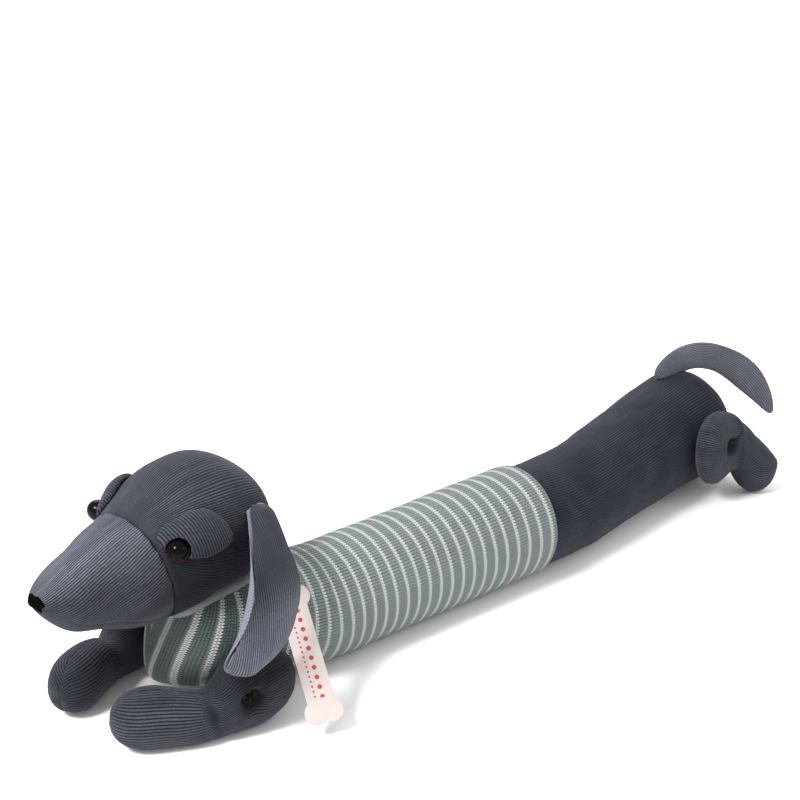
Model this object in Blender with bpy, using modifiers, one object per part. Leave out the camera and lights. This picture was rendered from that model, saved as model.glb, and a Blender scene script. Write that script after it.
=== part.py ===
"""Stuffed corduroy dog that lies along the foot of a door and stops the draught.

Metres, +Z up. The head points to -X and the tail to +X. The floor is Z = 0.
The dog's left side is -Y. Places below count from a point just before the chest;
at the end everything moves so that the origin is under the middle of the toy.
"""
import bpy
import bmesh
from math import acos, asin, atan2, copysign, cos, pi, radians, sin, sqrt, tan, tau
from mathutils import Euler, Matrix, Vector

NAME = "dog_draught_excluder"

# Gap kept between two pieces that are sewn or pressed together
CLEAR = 0.0003

# Stuffed tube
CHEST_X = 0.020          # the chest's front end; the snout reaches over it
TUBE_END = 0.780         # the rump's rear end
CHEST_RADIUS = 0.0505
RUMP_RADIUS = 0.0648
CHEST_CAP = 0.050
CHEST_EDGE = 7.0         # the chest ends in an upright rounded edge, not in a ball
RUMP_EDGE = 2.5
RUMP_CAP = 0.040
HEM_SWELL = 0.0025       # the tube is a little fuller at the jumper's hem
SETTLE = 0.0040          # how far the round tube settles flat on the floor
NECK_RISE = 0.022        # how far the chest end lifts off the floor
NECK_RISE_LENGTH = 0.140
MIDDLE_SWING = 0.032     # the middle lies a little to the dog's left
RUMP_SWING = 0.048       # and the tail end swings back to the right of it
TUBE_SEGMENTS = 28

# Knitted jumper over the front of the tube
JUMPER_WALL = 0.0030
HEM_X = 0.423
HEM_BEAD = 0.0012
CAP_RINGS = 6
JUMPER_RINGS = 12
HIND_RINGS = 7

# Head
HEAD_LENGTH = 0.221
HEAD_WIDTH = 0.124
HEAD_TOP = 0.209
HEAD_HEIGHT = 0.126
HEAD_BACK_X = 0.131
HEAD_PIVOT = 0.060       # the head turns about a point this far before its back
HEAD_YAW = radians(5)
SECTION_POWER = 0.94     # just under 1: a little squarer than an ellipse
SNOUT_SHARE = 0.580      # share of the head's length behind the snout seam
SNOUT_SEAM_LEAN = radians(9)
CHIN_THICKNESS = 0.0085
CHIN_BACK_X = 0.105

# Eyes, brows and nose
EYE_RADIUS = 0.0098
EYE_DOME = 0.0085
EYE_STEM_RADIUS = 0.0024
EYE_STEM_LENGTH = 0.014
EYE_SINK = 0.0012
EYE_SHARE = 0.535
EYE_HEIGHT = 0.158
BROW_SHARE = 0.455
BROW_HEIGHT = 0.1685
BROW_LENGTH = 0.068
BROW_DEPTH = 0.035
BROW_SLANT = radians(39)
BROW_PADDING = 0.0085
PAD_SEAT = 0.0012        # how deep a pad's flat side is trimmed to the head's skin
NOSE_SIZE = 0.0095
NOSE_PADDING = 0.0024

# Ears
EARS = {
    "left": dict(side=-1, root=Vector((0.025, 0.050, 0.172)), knee=Vector((-0.003, 0.112, 0.132)),
                 tip=Vector((-0.048, 0.110, 0.066))),
    "right": dict(side=1, root=Vector((0.025, 0.050, 0.172)), knee=Vector((0.012, 0.094, 0.132)),
                  tip=Vector((-0.006, 0.088, 0.066))),
}
EAR_WIDTH = 0.080
EAR_ROOT_WIDTH = 0.028
EAR_OUTER = 0.0030
EAR_LINING = 0.0022
EAR_SEGMENTS = 16
EAR_BOW = 0.007          # how far the middle of the ear stands out from its edges
EAR_FRONT = Vector((-0.96, 0.0, 0.28))
EAR_ROLL = 0.0095        # radius to which the front edge rolls outwards, over its lining
EAR_ROLL_SHARE = 0.56    # share of the ear's half width that the roll takes up

# Buttons
BUTTON_RADIUS = 0.0082
BUTTON_THICKNESS = 0.0032
BUTTON_RIM = 0.0016
BUTTON_HOLE_RADIUS = 0.0010
BUTTON_HOLE_SPACING = 0.0048
DIMPLE_DEPTH = 0.0110

# Tail
TAIL_WIDTH = 0.033
TAIL_THICKNESS = 0.012
TAIL_PATH = (Vector((-0.023, 0.012, -0.010)), Vector((0.001, 0.006, 0.044)),
             Vector((0.085, -0.026, 0.014)), Vector((0.119, -0.046, -0.067)))

# Swing tag
TAG_LENGTH = 0.117
TAG_SHANK = 0.020
TAG_LOBE = 0.0105
TAG_THICKNESS = 0.0008
TAG_HOLE_RADIUS = 0.0020
TAG_TOP = Vector((0.1101, -0.0765, 0.0918))
TAG_LEAN = Vector((0.186, 0.687, 0.736))
TIE_RADIUS = 0.0006
TIE_LENGTH = 0.055       # trimmed where it meets the jumper
TIE_INWARD = Vector((0.15, 0.97, -0.05))
KNOT_RADIUS = 0.0025

# Each leg: the thigh is an upright oval, the foot leaves it at the ankle and turns
# sideways there. Sizes run along the leg, upwards and across it. Each thigh is
# pressed flat against the tube by its press.
FRONT_LEG = dict(
    thigh_length=0.096, thigh_height=0.073, thigh_thickness=0.054,
    ankle_at=0.040, ankle_low=0.000, ankle_high=0.045, ankle_thickness=0.041,
    foot_length=0.070, foot_high=0.051, foot_thickness=0.047,
    foot_turn=radians(22), toe_cap=0.030,
    button_at=0.001, button_height=0.037, dimple_radius=0.023)
HIND_LEG = dict(
    thigh_length=0.070, thigh_height=0.086, thigh_thickness=0.038,
    ankle_at=0.028, ankle_low=0.012, ankle_high=0.077, ankle_thickness=0.036,
    foot_length=0.065, foot_high=0.045, foot_thickness=0.044,
    foot_turn=radians(-40), toe_cap=0.028,
    button_at=0.002, button_height=0.047, dimple_radius=0.017)
# The right hind leg is turned on its button, so that its thigh lies lower and longer
HIND_LEG_LOW = dict(HIND_LEG, thigh_length=0.084, thigh_height=0.066, ankle_low=0.010,
                    ankle_high=0.058, ankle_at=0.034, foot_high=0.047, button_height=0.036)
LEG_FULLNESS = 0.85      # below 1: the legs' sides are flatter than an oval's
LEG_SEGMENTS = 16
LEG_RINGS = 16

LEGS = {
    "front_leg_left": dict(spec=FRONT_LEG, x=0.050, side=-1, forward=True, toe_in=radians(10),
                           lift=0.0, press=0.0025),
    "front_leg_right": dict(spec=FRONT_LEG, x=0.036, side=1, forward=True, toe_in=radians(11),
                            lift=0.0, press=0.0025),
    "hind_leg_left": dict(spec=HIND_LEG, x=0.702, side=-1, forward=False, toe_in=radians(12),
                          lift=0.025, press=0.0025),
    "hind_leg_right": dict(spec=HIND_LEG_LOW, x=0.756, side=1, forward=False, toe_in=radians(20),
                           lift=0.0, press=0.0080),
}

COLOURS = {
    "corduroy_body": ((0.040, 0.050, 0.064), 0.95),
    "corduroy_light": ((0.110, 0.125, 0.150), 0.95),
    "knit": ((0.250, 0.310, 0.285), 0.95),
    "plain_grey": ((0.360, 0.375, 0.390), 0.90),
    "ear_cloth": ((0.220, 0.235, 0.260), 0.95),
    "black_plastic": ((0.010, 0.009, 0.010), 0.12),
    "nose_felt": ((0.006, 0.006, 0.008), 0.80),
    "button_plastic": ((0.012, 0.012, 0.014), 0.35),
    "tag_card": ((0.820, 0.720, 0.690), 0.60),
    "tie_thread": ((0.700, 0.690, 0.660), 0.85),
}


def clear_scene():
    for item in list(bpy.data.objects):
        bpy.data.objects.remove(item, do_unlink=True)
    for item in list(bpy.data.collections):
        bpy.data.collections.remove(item)


def ease(value):
    value = min(max(value, 0.0), 1.0)
    return value * value * (3.0 - 2.0 * value)


def blend(place, stations):
    """Value at a place, running smoothly from one (place, value) station to the next."""
    if place <= stations[0][0]:
        return stations[0][1]
    for (low, before), (high, after) in zip(stations, stations[1:]):
        if place <= high:
            return before + (after - before) * ease((place - low) / (high - low))
    return stations[-1][1]


def signed_power(value, power):
    return copysign(abs(value) ** power, value)


def round_end(distance, length, power=2.2):
    """Share of the full section left at a distance from a rounded end."""
    if distance >= length:
        return 1.0
    return max(0.0, 1.0 - (1.0 - max(distance, 0.0) / length) ** power) ** (1.0 / power)


def material(slot):
    made = bpy.data.materials.get(slot)
    if made is None:
        made = bpy.data.materials.new(slot)
        made.use_nodes = True
        colour, roughness = COLOURS[slot]
        shader = made.node_tree.nodes["Principled BSDF"]
        shader.inputs["Base Color"].default_value = (*colour, 1.0)
        shader.inputs["Roughness"].default_value = roughness
        made.diffuse_color = (*colour, 1.0)
    return made


def add_object(name, mesh, slot=None):
    """Put a mesh in the scene as a piece, or as a cutter where it has no material."""
    made = bpy.data.objects.new(name, mesh)
    if slot is None:
        CUTTERS.objects.link(made)
        made.hide_render = True
        made.display_type = "WIRE"
    else:
        PIECES.objects.link(made)
        made.parent = ROOT
        mesh.materials.append(material(slot))
        mesh.shade_smooth()
        mesh.set_sharp_from_angle(angle=radians(50))
    return made


def ball(name, segments, rings, place, slot=None):
    """A closed form: each point of a sphere moves to place(share from pole to pole, angle)."""
    bm = bmesh.new()
    bmesh.ops.create_uvsphere(bm, u_segments=segments, v_segments=rings, radius=1.0)
    for vert in bm.verts:
        share = acos(max(-1.0, min(1.0, vert.co.z))) / pi
        vert.co = place(share, atan2(vert.co.y, vert.co.x))
    if bm.calc_volume(signed=True) < 0:
        bmesh.ops.reverse_faces(bm, faces=bm.faces)
    bmesh.ops.triangulate(bm, faces=bm.faces, quad_method="SHORT_EDGE")
    mesh = bpy.data.meshes.new(name)
    bm.to_mesh(mesh)
    bm.free()
    return add_object(name, mesh, slot)


def turned(name, profile, steps, slot=None):
    """A turned form from (radius, height) points that run from the bottom to the top."""
    mesh = bpy.data.meshes.new(name)
    points = [(radius, 0.0, height) for radius, height in reversed(profile)]
    mesh.from_pydata(points, [(i, i + 1) for i in range(len(points) - 1)], [])
    made = add_object(name, mesh, slot)
    screw = made.modifiers.new("Turn", "SCREW")
    screw.steps = screw.render_steps = steps
    screw.use_merge_vertices = True
    screw.merge_threshold = 0.00001
    screw.use_smooth_shade = True
    return made


def block(name, centre, size, rotation=(0.0, 0.0, 0.0)):
    bm = bmesh.new()
    bmesh.ops.create_cube(bm, size=1.0, matrix=Matrix.Diagonal((*size, 1.0)))
    mesh = bpy.data.meshes.new(name)
    bm.to_mesh(mesh)
    bm.free()
    made = add_object(name, mesh)
    made.location = centre
    made.rotation_euler = rotation
    return made


def cut(piece, cutter, operation="DIFFERENCE"):
    tool = piece.modifiers.new(cutter.name, "BOOLEAN")
    tool.operation = operation
    tool.solver = "EXACT"
    tool.object = cutter


def tube_radius(x):
    swell = max(0.0, (x - HEM_X - 0.09) / (TUBE_END - RUMP_CAP - HEM_X - 0.09))
    belly = HEM_SWELL * ease((x - HEM_X / 2) / (HEM_X / 2))
    return CHEST_RADIUS + belly + (RUMP_RADIUS - CHEST_RADIUS - HEM_SWELL) * min(swell, 1.0) ** 1.5


def tube_floor(x):
    """The bare tube lies on the floor behind the hem, and on the jumper before it."""
    return (JUMPER_WALL + CLEAR) * (1.0 - ease((x - HEM_X) / 0.04))


def tube_centre(x):
    lift = NECK_RISE * max(0.0, 1.0 - (x - CHEST_X) / NECK_RISE_LENGTH) ** 1.6
    swing = RUMP_SWING * ease((x - HEM_X) / (TUBE_END - HEM_X))
    swing -= MIDDLE_SWING * ease((x + 0.06) / 0.24)
    return Vector((x, swing, tube_floor(x) + tube_radius(x) - SETTLE + lift))


def tube_stations():
    """Places along the tube: chest cap, jumper, bare hind part, rump cap."""
    quarter = [1.0 - cos(pi / 2 * i / CAP_RINGS) for i in range(CAP_RINGS)]
    chest = [CHEST_X + CHEST_CAP * share for share in quarter]
    full = CHEST_X + CHEST_CAP
    jumper = [full + (HEM_X - full) * i / JUMPER_RINGS for i in range(JUMPER_RINGS + 1)]
    rump_start = TUBE_END - RUMP_CAP
    hind = [HEM_X + (rump_start - HEM_X) * i / HIND_RINGS for i in range(1, HIND_RINGS + 1)]
    rump = [TUBE_END - RUMP_CAP * share for share in reversed(quarter)]
    return chest + jumper + hind + rump


def tube_point(x, angle, offset):
    """Point on the tube's skin at a place along it, moved out by an offset."""
    middle = min(max(x, CHEST_X + CHEST_CAP), TUBE_END - RUMP_CAP)
    cap = CHEST_CAP if x < middle else RUMP_CAP
    reach = (x - middle) / cap
    along = middle + reach * (cap + offset)
    edge = CHEST_EDGE if x < middle else RUMP_EDGE
    wide = (tube_radius(middle) + offset) * max(0.0, 1.0 - abs(reach) ** 2.2) ** (1.0 / 2.2)
    tall = (tube_radius(middle) + offset) * max(0.0, 1.0 - abs(reach) ** edge) ** (1.0 / edge)
    centre = tube_centre(along)
    forward = (tube_centre(along + 0.004) - tube_centre(along - 0.004)).normalized()
    side = Vector((-forward.y, forward.x, 0.0)).normalized()
    up = forward.cross(side)
    point = centre + side * wide * cos(angle) + up * tall * sin(angle)
    point.z = max(point.z, tube_floor(along) - offset, 0.0)
    return point


def tube_form(name, offset, slot=None):
    stations = tube_stations()
    last = len(stations) - 1

    def place(share, angle):
        return tube_point(stations[round(share * last)], angle, offset)

    return ball(name, TUBE_SEGMENTS, last, place, slot)


def make_jumper():
    """A knitted sock over the chest: its skin runs back to the hem and inside it again."""
    stations = tube_stations()
    hem = CAP_RINGS + JUMPER_RINGS
    outer, inner = CLEAR + JUMPER_WALL, CLEAR
    path = [(x, outer) for x in stations[:hem]]
    path.append((stations[hem], outer + HEM_BEAD))
    path.append((stations[hem] + JUMPER_WALL * 0.8, (outer + inner + HEM_BEAD) / 2))
    path += [(x, inner) for x in reversed(stations[:hem + 1])]
    last = len(path) - 1

    def place(share, angle):
        x, offset = path[round(share * last)]
        return tube_point(x, angle, offset)

    return ball("jumper", TUBE_SEGMENTS, last, place, "knit")


def head_frame():
    """The head's own frame: origin over the neck, turned a little to the dog's left."""
    return Matrix.Translation((HEAD_BACK_X - HEAD_PIVOT, 0.0, 0.0)) @ Matrix.Rotation(HEAD_YAW, 4, "Z")


def head_section(share):
    """Half width, top, bottom and height of the widest level at a share of the length."""
    crown = HEAD_TOP
    tall = HEAD_HEIGHT
    half = HEAD_WIDTH / 2
    width = half * blend(share, [(0.0, 0.97), (0.30, 1.01), (0.46, 1.04), (0.60, 0.84),
                                 (0.80, 0.57), (1.0, 0.36)])
    top = crown - tall * blend(share, [(0.0, 0.08), (0.28, 0.0), (0.40, 0.03), (0.54, 0.19),
                                       (0.62, 0.275), (0.78, 0.40), (1.0, 0.53)])
    bottom = crown - tall * blend(share, [(0.0, 0.93), (0.30, 1.0), (0.62, 1.0), (0.84, 0.90),
                                          (1.0, 0.78)])
    level = crown - tall * blend(share, [(0.0, 0.52), (0.40, 0.55), (0.70, 0.68), (1.0, 0.60)])
    cap = round_end(share * HEAD_LENGTH, HEAD_LENGTH * 0.27, 2.25)
    cap *= round_end((1.0 - share) * HEAD_LENGTH, HEAD_LENGTH * 0.13, 1.9)
    return width * cap, level + (top - level) * cap, level + (bottom - level) * cap, level


def head_point(share, angle, offset=0.0):
    """Point on the head: share 0 at the back of the skull, 1 at the tip of the nose."""
    width, top, bottom, level = head_section(share)
    across = (width + offset) * signed_power(cos(angle), SECTION_POWER)
    rise = (top - level if sin(angle) > 0 else level - bottom) + offset
    height = level + rise * signed_power(sin(angle), SECTION_POWER)
    along = HEAD_PIVOT - share * HEAD_LENGTH
    if share > 0.93:
        along -= offset * (share - 0.93) / 0.07
    return Vector((along, -across, height))


def head_normal(share, angle):
    step = 0.004
    along = head_point(share + step, angle) - head_point(share - step, angle)
    around = head_point(share, angle + step * 8) - head_point(share, angle - step * 8)
    normal = along.cross(around).normalized()
    outward = head_point(share, angle) - Vector((head_point(share, angle).x, 0.0, 0.145))
    return normal if normal.dot(outward) > 0 else -normal


def head_share(step, rings):
    """Rings crowd towards both ends, where the form turns fastest."""
    return 0.5 - 0.5 * cos(pi * (0.15 * sin(tau * step) / tau + step))


def head_form(name, offset=0.0, slot=None, segments=26, rings=24):
    made = ball(name, segments, rings,
                lambda step, angle: head_point(head_share(step, rings), angle, offset), slot)
    made.data.transform(head_frame())
    return made


def angle_at_height(share, height):
    """Angle round the head's section at which its left side reaches a height."""
    width, top, bottom, level = head_section(share)
    reach = (height - level) / (top - level if height > level else level - bottom)
    return asin(signed_power(max(-1.0, min(1.0, reach)), 1.0 / SECTION_POWER))


def make_head(tube_skin):
    """Crown, snout and chin are one stuffed form, parted along its seams."""
    frame = head_frame()
    seam_along = HEAD_PIVOT - SNOUT_SHARE * HEAD_LENGTH
    seam = frame @ Vector((seam_along, 0.0, HEAD_TOP - HEAD_HEIGHT / 2))
    lean = (0.0, -SNOUT_SEAM_LEAN, HEAD_YAW)
    turn = Euler(lean).to_matrix()
    big = HEAD_LENGTH * 2
    before = block("before_seam", seam - turn @ Vector((big / 2 - CLEAR / 2, 0.0, 0.0)),
                   (big, big, big), lean)
    behind = block("behind_seam", seam + turn @ Vector((big / 2 - CLEAR / 2, 0.0, 0.0)),
                   (big, big, big), lean)
    hollow = tube_form("tube_hollow", tube_skin + CLEAR)
    chin_room = tube_form("chin_room", tube_skin + CLEAR + CHIN_THICKNESS + CLEAR)
    chin_limit = block("chin_limit", (CHIN_BACK_X + CLEAR - big / 2, 0.0, 0.0), (big, big, big))
    cut(chin_room, chin_limit, "INTERSECT")
    chin_skin = tube_form("chin_skin", tube_skin + CLEAR + CHIN_THICKNESS)
    chin_end = block("chin_end", (CHIN_BACK_X - big / 2, 0.0, 0.0), (big, big, big))
    cut(chin_skin, chin_end, "INTERSECT")

    crown = head_form("head_crown", slot="corduroy_body")
    snout = head_form("head_snout", slot="corduroy_light")
    chin = head_form("head_chin", slot="plain_grey")
    for piece, tools in ((crown, (before, hollow, chin_room)), (snout, (behind, hollow)),
                         (chin, (before, hollow))):
        for tool in tools:
            cut(piece, tool)
    cut(chin, chin_skin, "INTERSECT")
    return crown, snout, chin


def seat_frame(share, angle):
    """Frame on the head's skin whose Z points out of it."""
    normal = head_normal(share, angle)
    sideways = Vector((0.0, 0.0, 1.0)).cross(normal).normalized()
    upwards = normal.cross(sideways)
    turn = Matrix((sideways, upwards, normal)).transposed().to_4x4()
    return head_frame() @ Matrix.Translation(head_point(share, angle)) @ turn


def make_eye(name, carriers, side):
    """A domed safety eye whose stem stands in a hole in the crown, at the brow's edge."""
    lift = angle_at_height(EYE_SHARE, EYE_HEIGHT)
    angle = lift if side < 0 else pi - lift
    frame = seat_frame(EYE_SHARE, angle)
    arc = [(EYE_RADIUS * cos(pi / 2 * i / 5), EYE_DOME * sin(pi / 2 * i / 5)) for i in range(6)]
    base = -EYE_SINK + CLEAR
    profile = [(0.0, base - EYE_STEM_LENGTH), (EYE_STEM_RADIUS, base - EYE_STEM_LENGTH),
               (EYE_STEM_RADIUS, base), (EYE_RADIUS, base)]
    profile += [(radius, base + 0.0008 + height) for radius, height in arc]
    profile[-1] = (0.0, profile[-1][1])
    eye = turned(name, profile, 18, "black_plastic")
    eye.matrix_world = frame
    hole = turned(name + "_hole", [
        (0.0, base - EYE_STEM_LENGTH - CLEAR), (EYE_STEM_RADIUS + CLEAR, base - EYE_STEM_LENGTH - CLEAR),
        (EYE_STEM_RADIUS + CLEAR, -EYE_SINK), (EYE_RADIUS + CLEAR, -EYE_SINK),
        (EYE_RADIUS + CLEAR, EYE_DOME * 2), (0.0, EYE_DOME * 2)], 18)
    hole.matrix_world = frame
    for carrier in carriers:
        cut(carrier, hole)
    return eye


def make_pad(name, centre_share, centre_angle, outline, padding, slot, segments=16):
    """A small padded patch that lies on the head's skin."""
    frame = head_frame()

    def place(step, turn):
        reach = sin(pi * step)
        along, around = outline(turn)
        share = centre_share + along * reach
        angle = centre_angle + around * reach
        outer = CLEAR + padding * (0.25 + 0.75 * sqrt(max(0.0, 1.0 - reach ** 2)))
        depth = outer if step < 0.5 else -PAD_SEAT
        skin = head_point(share, angle)
        return frame @ (skin + head_normal(share, angle) * depth)

    return ball(name, segments, 9, place, slot)


def make_brow(name, side):
    """A long padded brow that slants down towards the ear, behind and over the eye."""
    lift = angle_at_height(BROW_SHARE, BROW_HEIGHT)
    middle = lift if side < 0 else pi - lift

    def outline(turn):
        along, up = BROW_LENGTH / 2 * cos(turn), BROW_DEPTH / 2 * sin(turn)
        forward = along * cos(BROW_SLANT) - up * sin(BROW_SLANT)
        upward = along * sin(BROW_SLANT) + up * cos(BROW_SLANT)
        return forward / HEAD_LENGTH, upward / (HEAD_WIDTH / 2) * (-side)

    return make_pad(name, BROW_SHARE, middle, outline, BROW_PADDING, "corduroy_light")


def make_nose():
    """A black three-cornered pad over the tip of the snout."""
    frame = head_frame()

    def place(step, turn):
        corner = NOSE_SIZE * (1.0 + 0.22 * sin(3 * turn + pi))
        reach = sin(pi * step)
        low, high = 0.80, 1.0
        for _ in range(24):
            middle = (low + high) / 2
            if head_section(middle)[0] > corner * reach:
                low = middle
            else:
                high = middle
        outer = CLEAR + NOSE_PADDING * (0.3 + 0.7 * sqrt(max(0.0, 1.0 - reach ** 2)))
        depth = outer if step < 0.5 else -PAD_SEAT
        share = min(low, 0.99999)
        skin = head_point(share, turn)
        forward = Vector((-1.0, 0.0, 0.0))
        return frame @ (skin + forward * depth)

    return ball("nose", 15, 9, place, "nose_felt")


def make_ear(name, spec, low, high, slot):
    """A padded flap: sections run from the root on the crown down to the tip."""
    frame = head_frame()
    front = EAR_FRONT.normalized()
    outward = Vector((0.0, 1.0, 0.0))

    def place(step, angle):
        share = 0.5 - 0.5 * cos(pi * step)
        middle = (spec["root"] * (1 - share) ** 2 + spec["knee"] * 2 * share * (1 - share)
                  + spec["tip"] * share ** 2)
        half = blend(share, [(0.0, EAR_ROOT_WIDTH / 2), (0.62, EAR_WIDTH / 2), (1.0, EAR_WIDTH / 2)])
        half *= round_end(share, 0.06, 2.2) * round_end(1.0 - share, 0.28, 2.1)
        reach = cos(angle)
        depth = (low + high) / 2 + (high - low) / 2 * signed_power(sin(angle), 0.6)
        flat = min(reach, 1.0 - EAR_ROLL_SHARE)
        radius = EAR_ROLL / max(0.12, sin(pi * share) ** 0.7)
        turn = (reach - flat) * half / radius
        spot = middle + front * (flat * half + radius * sin(turn)) + outward * radius * (1 - cos(turn))
        spot += outward * EAR_BOW * (1.0 - reach ** 2)
        spot += (outward * cos(turn) - front * sin(turn)) * depth
        spot.y *= spec["side"]
        return frame @ spot

    return ball(name, EAR_SEGMENTS, 14, place, slot)


def leg_profile(spec, lift, x):
    """Low edge, high edge and half thickness of a leg at a place along it."""
    back = -spec["thigh_length"] / 2
    toe = spec["ankle_at"] + spec["foot_length"]
    foot = spec["ankle_at"] + spec["foot_length"] * 0.45
    low = blend(x, [(0.0, 0.0), (spec["ankle_at"], spec["ankle_low"]), (foot, -lift)])
    high = blend(x, [(0.0, spec["thigh_height"]), (spec["ankle_at"], spec["ankle_high"]),
                     (foot, spec["foot_high"])])
    thick = blend(x, [(0.0, spec["thigh_thickness"]), (spec["ankle_at"], spec["ankle_thickness"]),
                      (foot, spec["foot_thickness"])])
    cap = round_end(x - back, -back, 2.1) * round_end(toe - x, spec["toe_cap"], 2.1)
    middle = (low + high) / 2
    return middle + (low - middle) * cap, middle + (high - middle) * cap, thick / 2 * cap


def leg_spine(spec, x):
    """Place and heading of the leg's middle line, which turns at the ankle."""
    reach, steps = Vector((0.0, 0.0)), 24
    heading = 0.0
    for i in range(steps):
        here = x * (i + 0.5) / steps
        heading = spec["foot_turn"] * ease((here - spec["ankle_at"] + 0.012) / 0.030)
        reach += Vector((cos(heading), -sin(heading))) * (x / steps)
    return reach, heading


def make_leg(name, place_spec, skin):
    """A two-panel stuffed leg, pressed against the tube and drawn in by its button."""
    spec = place_spec["spec"]
    back = -spec["thigh_length"] / 2
    toe = spec["ankle_at"] + spec["foot_length"]
    forward, side, lift = place_spec["forward"], place_spec["side"], place_spec["lift"]
    mirror = 1 if forward == (side < 0) else -1

    def place(step, angle):
        share = 0.5 - 0.5 * cos(pi * (step + 0.10 * sin(tau * step) / pi))
        x = back + (toe - back) * share
        low, high, thick = leg_profile(spec, lift, x)
        reach, heading = leg_spine(spec, x)
        out = thick * signed_power(cos(angle), LEG_FULLNESS)
        middle, half = (low + high) / 2, (high - low) / 2
        spot = Vector((reach.x + out * sin(heading), reach.y + out * cos(heading),
                       middle + half * signed_power(sin(angle), 1.0) * 1.03))
        spot.y *= mirror
        spot.z = max(spot.z, -lift)
        return spot

    leg = ball(name, LEG_SEGMENTS, LEG_RINGS, place, "corduroy_light")
    flank = tube_point(place_spec["x"], 0.0 if side > 0 else pi, skin)
    out = flank.y + side * (spec["thigh_thickness"] / 2 - place_spec["press"])
    turn = (pi if forward else 0.0) + place_spec["toe_in"] * (side if forward else -side)
    leg.location = (place_spec["x"], out, lift)
    leg.rotation_euler = (0.0, 0.0, turn)

    seat = spec["thigh_thickness"] / 2 - DIMPLE_DEPTH
    frame = (Matrix.Translation(leg.location) @ Matrix.Rotation(turn, 4, "Z")
             @ Matrix.Translation((spec["button_at"], 0.0, spec["button_height"]))
             @ Matrix.Rotation(-mirror * pi / 2, 4, "X"))
    inner = BUTTON_RADIUS + CLEAR
    sides = [(inner + (spec["dimple_radius"] - inner) * (1 - cos(pi / 2 * i / 4)),
              seat + DIMPLE_DEPTH * 1.15 * sin(pi / 2 * i / 4)) for i in range(5)]
    dimple = turned(name + "_dimple", [(0.0, seat)] + sides +
                    [(spec["dimple_radius"], seat + 0.04), (0.0, seat + 0.04)], 18)
    dimple.matrix_world = frame
    cut(leg, dimple)
    make_button(name.replace("leg", "button"), frame @ Matrix.Translation((0.0, 0.0, seat + CLEAR)))
    return leg


def make_button(name, frame):
    """A round sew-through button with a raised rim and four holes."""
    rim, thick = BUTTON_RADIUS - BUTTON_RIM, BUTTON_THICKNESS
    button = turned(name, [(0.0, 0.0), (BUTTON_RADIUS * 0.86, 0.0), (BUTTON_RADIUS, thick * 0.35),
                           (BUTTON_RADIUS, thick * 0.75), (BUTTON_RADIUS - BUTTON_RIM / 3, thick),
                           (rim + BUTTON_RIM / 4, thick), (rim, thick * 0.62), (0.0, thick * 0.55)],
                    16, "button_plastic")
    button.matrix_world = frame
    bm = bmesh.new()
    for i in range(4):
        angle = pi / 4 + i * pi / 2
        spot = Vector((cos(angle), sin(angle), 0.0)) * BUTTON_HOLE_SPACING / 2
        bmesh.ops.create_cone(bm, cap_ends=True, segments=8, radius1=BUTTON_HOLE_RADIUS,
                              radius2=BUTTON_HOLE_RADIUS, depth=thick * 4,
                              matrix=Matrix.Translation(spot))
    mesh = bpy.data.meshes.new(name + "_holes")
    bm.to_mesh(mesh)
    bm.free()
    holes = add_object(name + "_holes", mesh)
    holes.matrix_world = frame
    cut(button, holes)
    return button


def make_tail():
    """A flat padded sickle that stands up from the rump and droops behind it."""
    end = tube_centre(TUBE_END - RUMP_CAP)
    top = end.z + tube_radius(TUBE_END - RUMP_CAP)
    path = [Vector((end.x, end.y, top)) + step for step in TAIL_PATH]

    def middle(share):
        rest = 1.0 - share
        return (path[0] * rest ** 3 + path[1] * 3 * rest ** 2 * share
                + path[2] * 3 * rest * share ** 2 + path[3] * share ** 3)

    def place(step, angle):
        share = 0.5 - 0.5 * cos(pi * step)
        ahead = (middle(share + 0.01) - middle(share - 0.01)).normalized()
        flat = Vector((0.0, 0.0, 1.0)).cross(ahead).normalized()
        broad = ahead.cross(flat)
        half = TAIL_WIDTH / 2 * blend(share, [(0.0, 1.0), (0.55, 1.0), (1.0, 0.72)])
        half *= round_end(share, 0.05) * round_end(1.0 - share, 0.30, 1.9)
        thick = TAIL_THICKNESS / 2 * round_end(share, 0.05) * round_end(1.0 - share, 0.2)
        return middle(share) + broad * half * cos(angle) + flat * thick * sin(angle)

    return ball("tail", 12, 18, place, "corduroy_light")


def tag_outline():
    """A bone: a straight shank with two round lobes at each end."""
    points = []
    half = TAG_LENGTH / 2 - TAG_LOBE
    for end, side in ((1, 1), (1, -1), (-1, -1), (-1, 1)):
        centre = Vector((side * TAG_LOBE * 0.72, end * half))
        meet = asin(min(1.0, (TAG_SHANK / 2 - TAG_LOBE * 0.72) / TAG_LOBE))
        angles = [-pi / 2 + 0.55 + meet, pi / 2 + asin(0.72)]
        arc = [angles[0] + (angles[1] - angles[0]) * i / 9 for i in range(10)]
        lobe = [Vector((centre.x + side * TAG_LOBE * cos(a), centre.y + end * TAG_LOBE * sin(a)))
                for a in arc]
        if end * side < 0:
            lobe.reverse()
        points += lobe
    return points


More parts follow.
